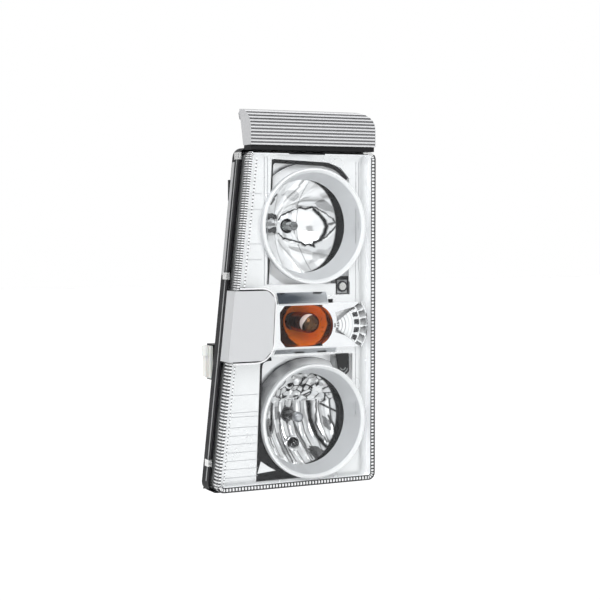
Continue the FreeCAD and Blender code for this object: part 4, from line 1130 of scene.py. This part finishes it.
def rear_ribs():
    """Stiffening ribs on the housing's rear wall, and webs round the two towers."""
    y = REAR_WALL - 0.3
    proud = 2.3
    thin = 1.6
    ribs = []
    for x in (-30.0, 29.0):
        ribs += [(x, y, HIGH_AXIS - 77, thin, proud, 38), (x, y, LOW_AXIS + 42, thin, proud, 26)]
    long_ribs = (HIGH_AXIS + 52, HIGH_AXIS - 54, HIGH_AXIS - 78, LOW_AXIS - 50)
    ribs += [(-28, y, z, 96, proud, thin) for z in long_ribs]
    ribs += [(32, y, z, 36, proud, thin) for z in (26, 12, -14, -28, -44)]
    ribs += [(57.5, y, z, thin, proud, 24) for z in (HIGH_AXIS - 14, LOW_AXIS - 8)]
    bars("rear_ribs", ribs, HOUSING, "black_plastic", soften=0.3)
    for name, axis in (("high_tower_webs", HIGH_AXIS), ("low_tower_webs", LOW_AXIS)):
        points = []
        faces = []
        for k in range(12):
            out = around(1, math.radians(15 + 30 * k))
            side = Vector((-out.y, out.x)) * 0.8
            web = []
            for reach, rear in ((TOWER_RADIUS - 0.5, y + 5.2), (TOWER_RADIUS + 6.5, y + 1.6)):
                for spot in (out * reach + side, out * reach - side):
                    web += [(spot.x, y, axis + spot.y), (spot.x, rear, axis + spot.y)]
            merge(points, faces, web, WEB_FACES)
        shape(name, points, faces, HOUSING, "housing", "black_plastic", smooth=False)


def ridge(points, faces, start, end, out, across):
    """Adds a tapered rib from start to end, standing out of a wall."""
    first = len(points)
    for spot in (start, end):
        for rise, side in ((-1.0, -1.0), (-1.0, 1.0), (1.4, 0.7), (1.4, -0.7)):
            points.append(spot + out * rise + across * side)
    for k in range(4):
        following = (k + 1) % 4
        faces.append((first + k, first + following, first + 4 + following, first + 4 + k))
    faces.append((first + 3, first + 2, first + 1, first))
    faces.append((first + 4, first + 5, first + 6, first + 7))


def wall_ribs():
    """Ribs on the outside of the housing's side, top and bottom walls."""
    front, rear = -96.0, REAR_WALL
    inset, end_inset, side_inset = 47.0, 7.0, 3.0

    def slanted(z, y):
        return Vector((flank(z) + inset * (y - front) / (rear - front), y, z))

    def straight(z, y):
        return Vector((LENS_RIGHT - side_inset * (y - front) / (rear - front), y, z))

    points = []
    faces = []
    start = front + 10
    end = rear - 6
    up = Vector((0, 0, 0.8))
    for wall, out in ((slanted, Vector((-0.89, 0.455, 0))), (straight, Vector((1, 0, 0)))):
        for z in (-160, -130, -100, 0, 30, 60, 90, 120, 178):
            ridge(points, faces, wall(z, start), wall(z, end), out, up)
        for y in (-68.0, -24.0):
            ridge(points, faces, wall(-176, y), wall(185, y), out, Vector((0, 0.8, 0)))
    for x in (-24, 0, 24, 48):
        for edge, sign in ((LENS_TOP, 1), (LENS_BOTTOM, -1)):
            near = Vector((x, start, edge - sign * end_inset * (start - front) / (rear - front)))
            far = Vector((x, end, edge - sign * end_inset * (end - front) / (rear - front)))
            ridge(points, faces, near, far, Vector((0, 0, sign)), Vector((0.8, 0, 0)))
    shape("wall_ribs", points, faces, HOUSING, "housing", "black_plastic", smooth=False)


def cap_grips():
    """The knurled edges of the two bulb caps."""
    for name, axis in (("high_cap", HIGH_AXIS), ("low_cap", LOW_AXIS)):
        low, high = box_mm(name)
        radius = (high.x - low.x) / 2
        grips = []
        faces = []
        for k in range(60):
            spot = around(radius - 0.1, 2 * math.pi * k / 60)
            path = [Vector((spot.x, low.y + 1.0 + 8.5 * step, axis + spot.y)) for step in (0, 0.5, 1)]
            merge(grips, faces, *tube(path, 0.8, 6))
        shape(name + "_grips", grips, faces, CAP, name, "cap_rubber")


def bezel_return():
    """The bright wall that runs from the bezel's edge forward to the lens."""
    rear_inset, front_inset = 4.3, 3.3

    def section(point, normal, rise):
        edge = point - normal * rear_inset
        front = point - normal * front_inset
        return [(edge.x, BEZEL_LOW.y + 1.0, edge.y), (front.x, LENS_FACE + 3.4, front.y)]

    loop = TRACK + TRACK[:1]
    corrugated("bezel_return", loop, 400.0, 0.0, section, -1.0, DISH, "chromed_plastic")


def bezel_lines():
    """Fine steps moulded in the bezel's columns, drawn in a darker chrome as painted shade at the steps."""
    y = BEZEL_LOW.y - 0.35
    proud = 0.6
    fine = 0.55
    lines = ((-62.3, 46, 146), (-58.2, 46, 146), (57.0, -112, 300), (60.5, 60, 128))
    upright = [(x, y, z, fine, proud, height) for x, z, height in lines]
    steps = [(flank(z) + 12, y, z, -65.5 - flank(z) - 12, proud, fine) for z in (150, 132, 93, 75)]
    low_steps = [-79, -99, -104] + [-116 - 9.5 * k for k in range(7)]
    steps += [(flank(z) + 10, y, z, -70.5 - flank(z) - 10, proud, fine * 0.9) for z in low_steps]
    bars("bezel_steps", upright + steps, STEP_SHADE, "chromed_plastic", soften=0.12)


def plate_surround():
    """The dark gap and the bright edge that follow the silver plate's outline."""
    right = PLATE_HIGH.x
    top = PLATE_HIGH.z
    bottom = PLATE_LOW.z
    left = FLANK_AT_ZERO + 4
    corners = (
        (left + FLANK_SLOPE * bottom, bottom), (right - 15, bottom), (right - 3, bottom + 12),
        (right, top - 9), (right - 9, top), (left + FLANK_SLOPE * top, top),
    )
    path = rounded([Vector(corner) for corner in corners], 9)
    ribbon("plate_gap", path, -2.0, 0.1, LENS_FACE, 0.6, BLACK, "black_plastic")
    ribbon("plate_edge", path, -3.4, -1.7, LENS_FACE, 0.9, CHROME, "chromed_plastic")


def rim_lines():
    """Thin dark lines on both sides of the fluted rim, and the short mark at the lens's top."""
    run = stretch(right_and_bottom)
    for name, start, end, depth in (
        ("rim_line_outer", -0.2, 1.1, 2.4),
        ("rim_line_inner", 5.0, 6.3, 0.9),
        ("rim_line_front", 0.1, 1.5, 0.7),
    ):
        corrugated(name, run, 1e6, 0.0, on_face(start, end, depth), 2.0)
    bars("top_mark", [(-38, LENS_FACE - 0.3, LENS_TOP - 4.6, 46, 0.3, 1.6)], BLACK, "clear_lens", soften=0.05)


# ---------- studio

def place_camera():
    """The camera looks at a point on the lens face, from the slanted flank's side."""
    back = Vector((
        math.sin(CAMERA_AZIMUTH) * math.cos(CAMERA_ELEVATION),
        -math.cos(CAMERA_AZIMUTH) * math.cos(CAMERA_ELEVATION),
        math.sin(CAMERA_ELEVATION),
    ))
    camera = bpy.data.objects.new("camera", bpy.data.cameras.new("camera"))
    bpy.context.scene.collection.objects.link(camera)
    camera.location = CAMERA_AIM * MM + back * CAMERA_DISTANCE
    camera.rotation_euler = (-back).to_track_quat("-Z", "Y").to_euler()
    camera.data.lens = CAMERA_LENS
    camera.data.sensor_width = 36.0
    camera.data.clip_start = 0.05
    camera.data.clip_end = 60.0
    bpy.context.scene.camera = camera


# the sky's brightness from left to right: pale, with three darker bands for the chrome to mirror
SKY = (
    (0.16, 1.0), (0.19, 0.06), (0.27, 0.04), (0.30, 1.0),
    (0.56, 1.05), (0.585, 0.10), (0.62, 0.08), (0.645, 1.0),
    (0.80, 1.0), (0.84, 0.12), (0.90, 0.10),
)
SKY_ENDS = (0.95, 0.9)
SKY_STRENGTH = (0.98, 1.32)


def light_studio():
    """A white sky with darker bands and slow clouds for the chrome to mirror, plain white to the camera."""
    world = bpy.data.worlds.new("studio")
    bpy.context.scene.world = world
    world.use_nodes = True
    tree = world.node_tree
    tree.nodes.clear()
    place = add_node(tree, "TexCoord").outputs["Generated"]
    split = add_node(tree, "SeparateXYZ", {"Vector": place})
    half = add_node(tree, "MapRange", {"Value": split.outputs["X"], "From Min": -1.0, "From Max": 1.0})
    ramp = add_node(tree, "ValToRGB", {"Fac": half.outputs["Result"]})
    stops = ramp.color_ramp.elements
    for stop, position, level in zip(stops, (0.0, 1.0), SKY_ENDS):
        stop.position = position
        stop.color = (level, level, level, 1)
    for position, level in SKY:
        stops.new(position).color = (level, level, level * 1.01, 1)
    clouds = add_node(tree, "TexNoise", {"Vector": place, "Scale": 2.2, "Detail": 1.0})
    low, high = SKY_STRENGTH
    spread = add_node(tree, "MapRange", {
        "Value": clouds.outputs["Fac"], "From Min": 0.3, "From Max": 0.7, "To Min": low, "To Max": high,
    })
    sky = add_node(tree, "Background", {
        "Color": ramp.outputs["Color"], "Strength": spread.outputs["Result"],
    })
    plain = add_node(tree, "Background", {"Color": (1, 1, 1, 1)})
    path = add_node(tree, "LightPath")
    mix = add_node(tree, "MixShader", {
        "Fac": path.outputs["Is Camera Ray"], 1: sky.outputs["Background"], 2: plain.outputs["Background"],
    })
    add_node(tree, "OutputWorld", {"Surface": mix.outputs["Shader"]})


def area_light(name, place, aim, size, power):
    """A soft rectangular light."""
    light = bpy.data.lights.new(name, "AREA")
    light.shape = "RECTANGLE"
    light.size, light.size_y = size
    light.energy = power
    lamp = bpy.data.objects.new(name, light)
    bpy.context.scene.collection.objects.link(lamp)
    lamp.location = place
    lamp.rotation_euler = (Vector(aim) - Vector(place)).to_track_quat("-Z", "Y").to_euler()


FLOOR_GLOW = (0.1, 0.25)   # light the floor gives off under the lamp and far from it
FLOOR_FADE = (0.3, 3.0)    # where the one turns into the other, in metres


def lay_floor():
    """A pale plain floor well below the lamp, which fades into the white surroundings."""
    size = 14.0
    drop = CAD_BOX[0].z - 0.5
    mesh = bpy.data.meshes.new("floor")
    corners = [(x * size, z * size, drop) for x, z in ((-1, -1), (1, -1), (1, 1), (-1, 1))]
    mesh.from_pydata(corners, [], [(0, 1, 2, 3)])
    floor = bpy.data.objects.new("floor", mesh)
    bpy.context.scene.collection.objects.link(floor)
    made = Paint("floor", (0.93, 0.93, 0.93), 0.8, Emission_Color=(1, 1, 1, 1))
    distance = made.node("VectorMath", {0: made.place}, operation="LENGTH").outputs["Value"]
    made.feed(Emission_Strength=made.ramp(distance, *FLOOR_GLOW, *FLOOR_FADE))
    mesh.materials.append(made.material)


# ---------- the whole lamp

finish_cad_nodes()
lens_ribs()
rim_lines()
bezel_return()
bezel_lines()
plate_surround()
window_panel("upper_panel", HIGH_AXIS, Vector((-76, 36)), Vector((BEZEL_HIGH.x, BEZEL_HIGH.z)))
window_panel("lower_panel", LOW_AXIS, Vector((-79, BEZEL_LOW.z)), Vector((BEZEL_HIGH.x, -37)))
window_edges()
screw_posts()
flank_bands()
rear_ribs()
wall_ribs()
cap_grips()
reflector("high_mirror", "high_beam", HIGH_AXIS, high_relief)
reflector("low_mirror", "low_beam", LOW_AXIS, low_relief, (0.0, POSITION_AXIS - LOW_AXIS, 8.5))
bulbs()
amber_bowl()
bulb_glint()
fan()
tray_details()
place_camera()
light_studio()
area_light("key", place=(-0.9, -1.6, 1.4), aim=(0, 0, 0), size=(1.2, 1.2), power=30)
lay_floor()

scene = bpy.context.scene
scene.view_settings.view_transform = "Standard"
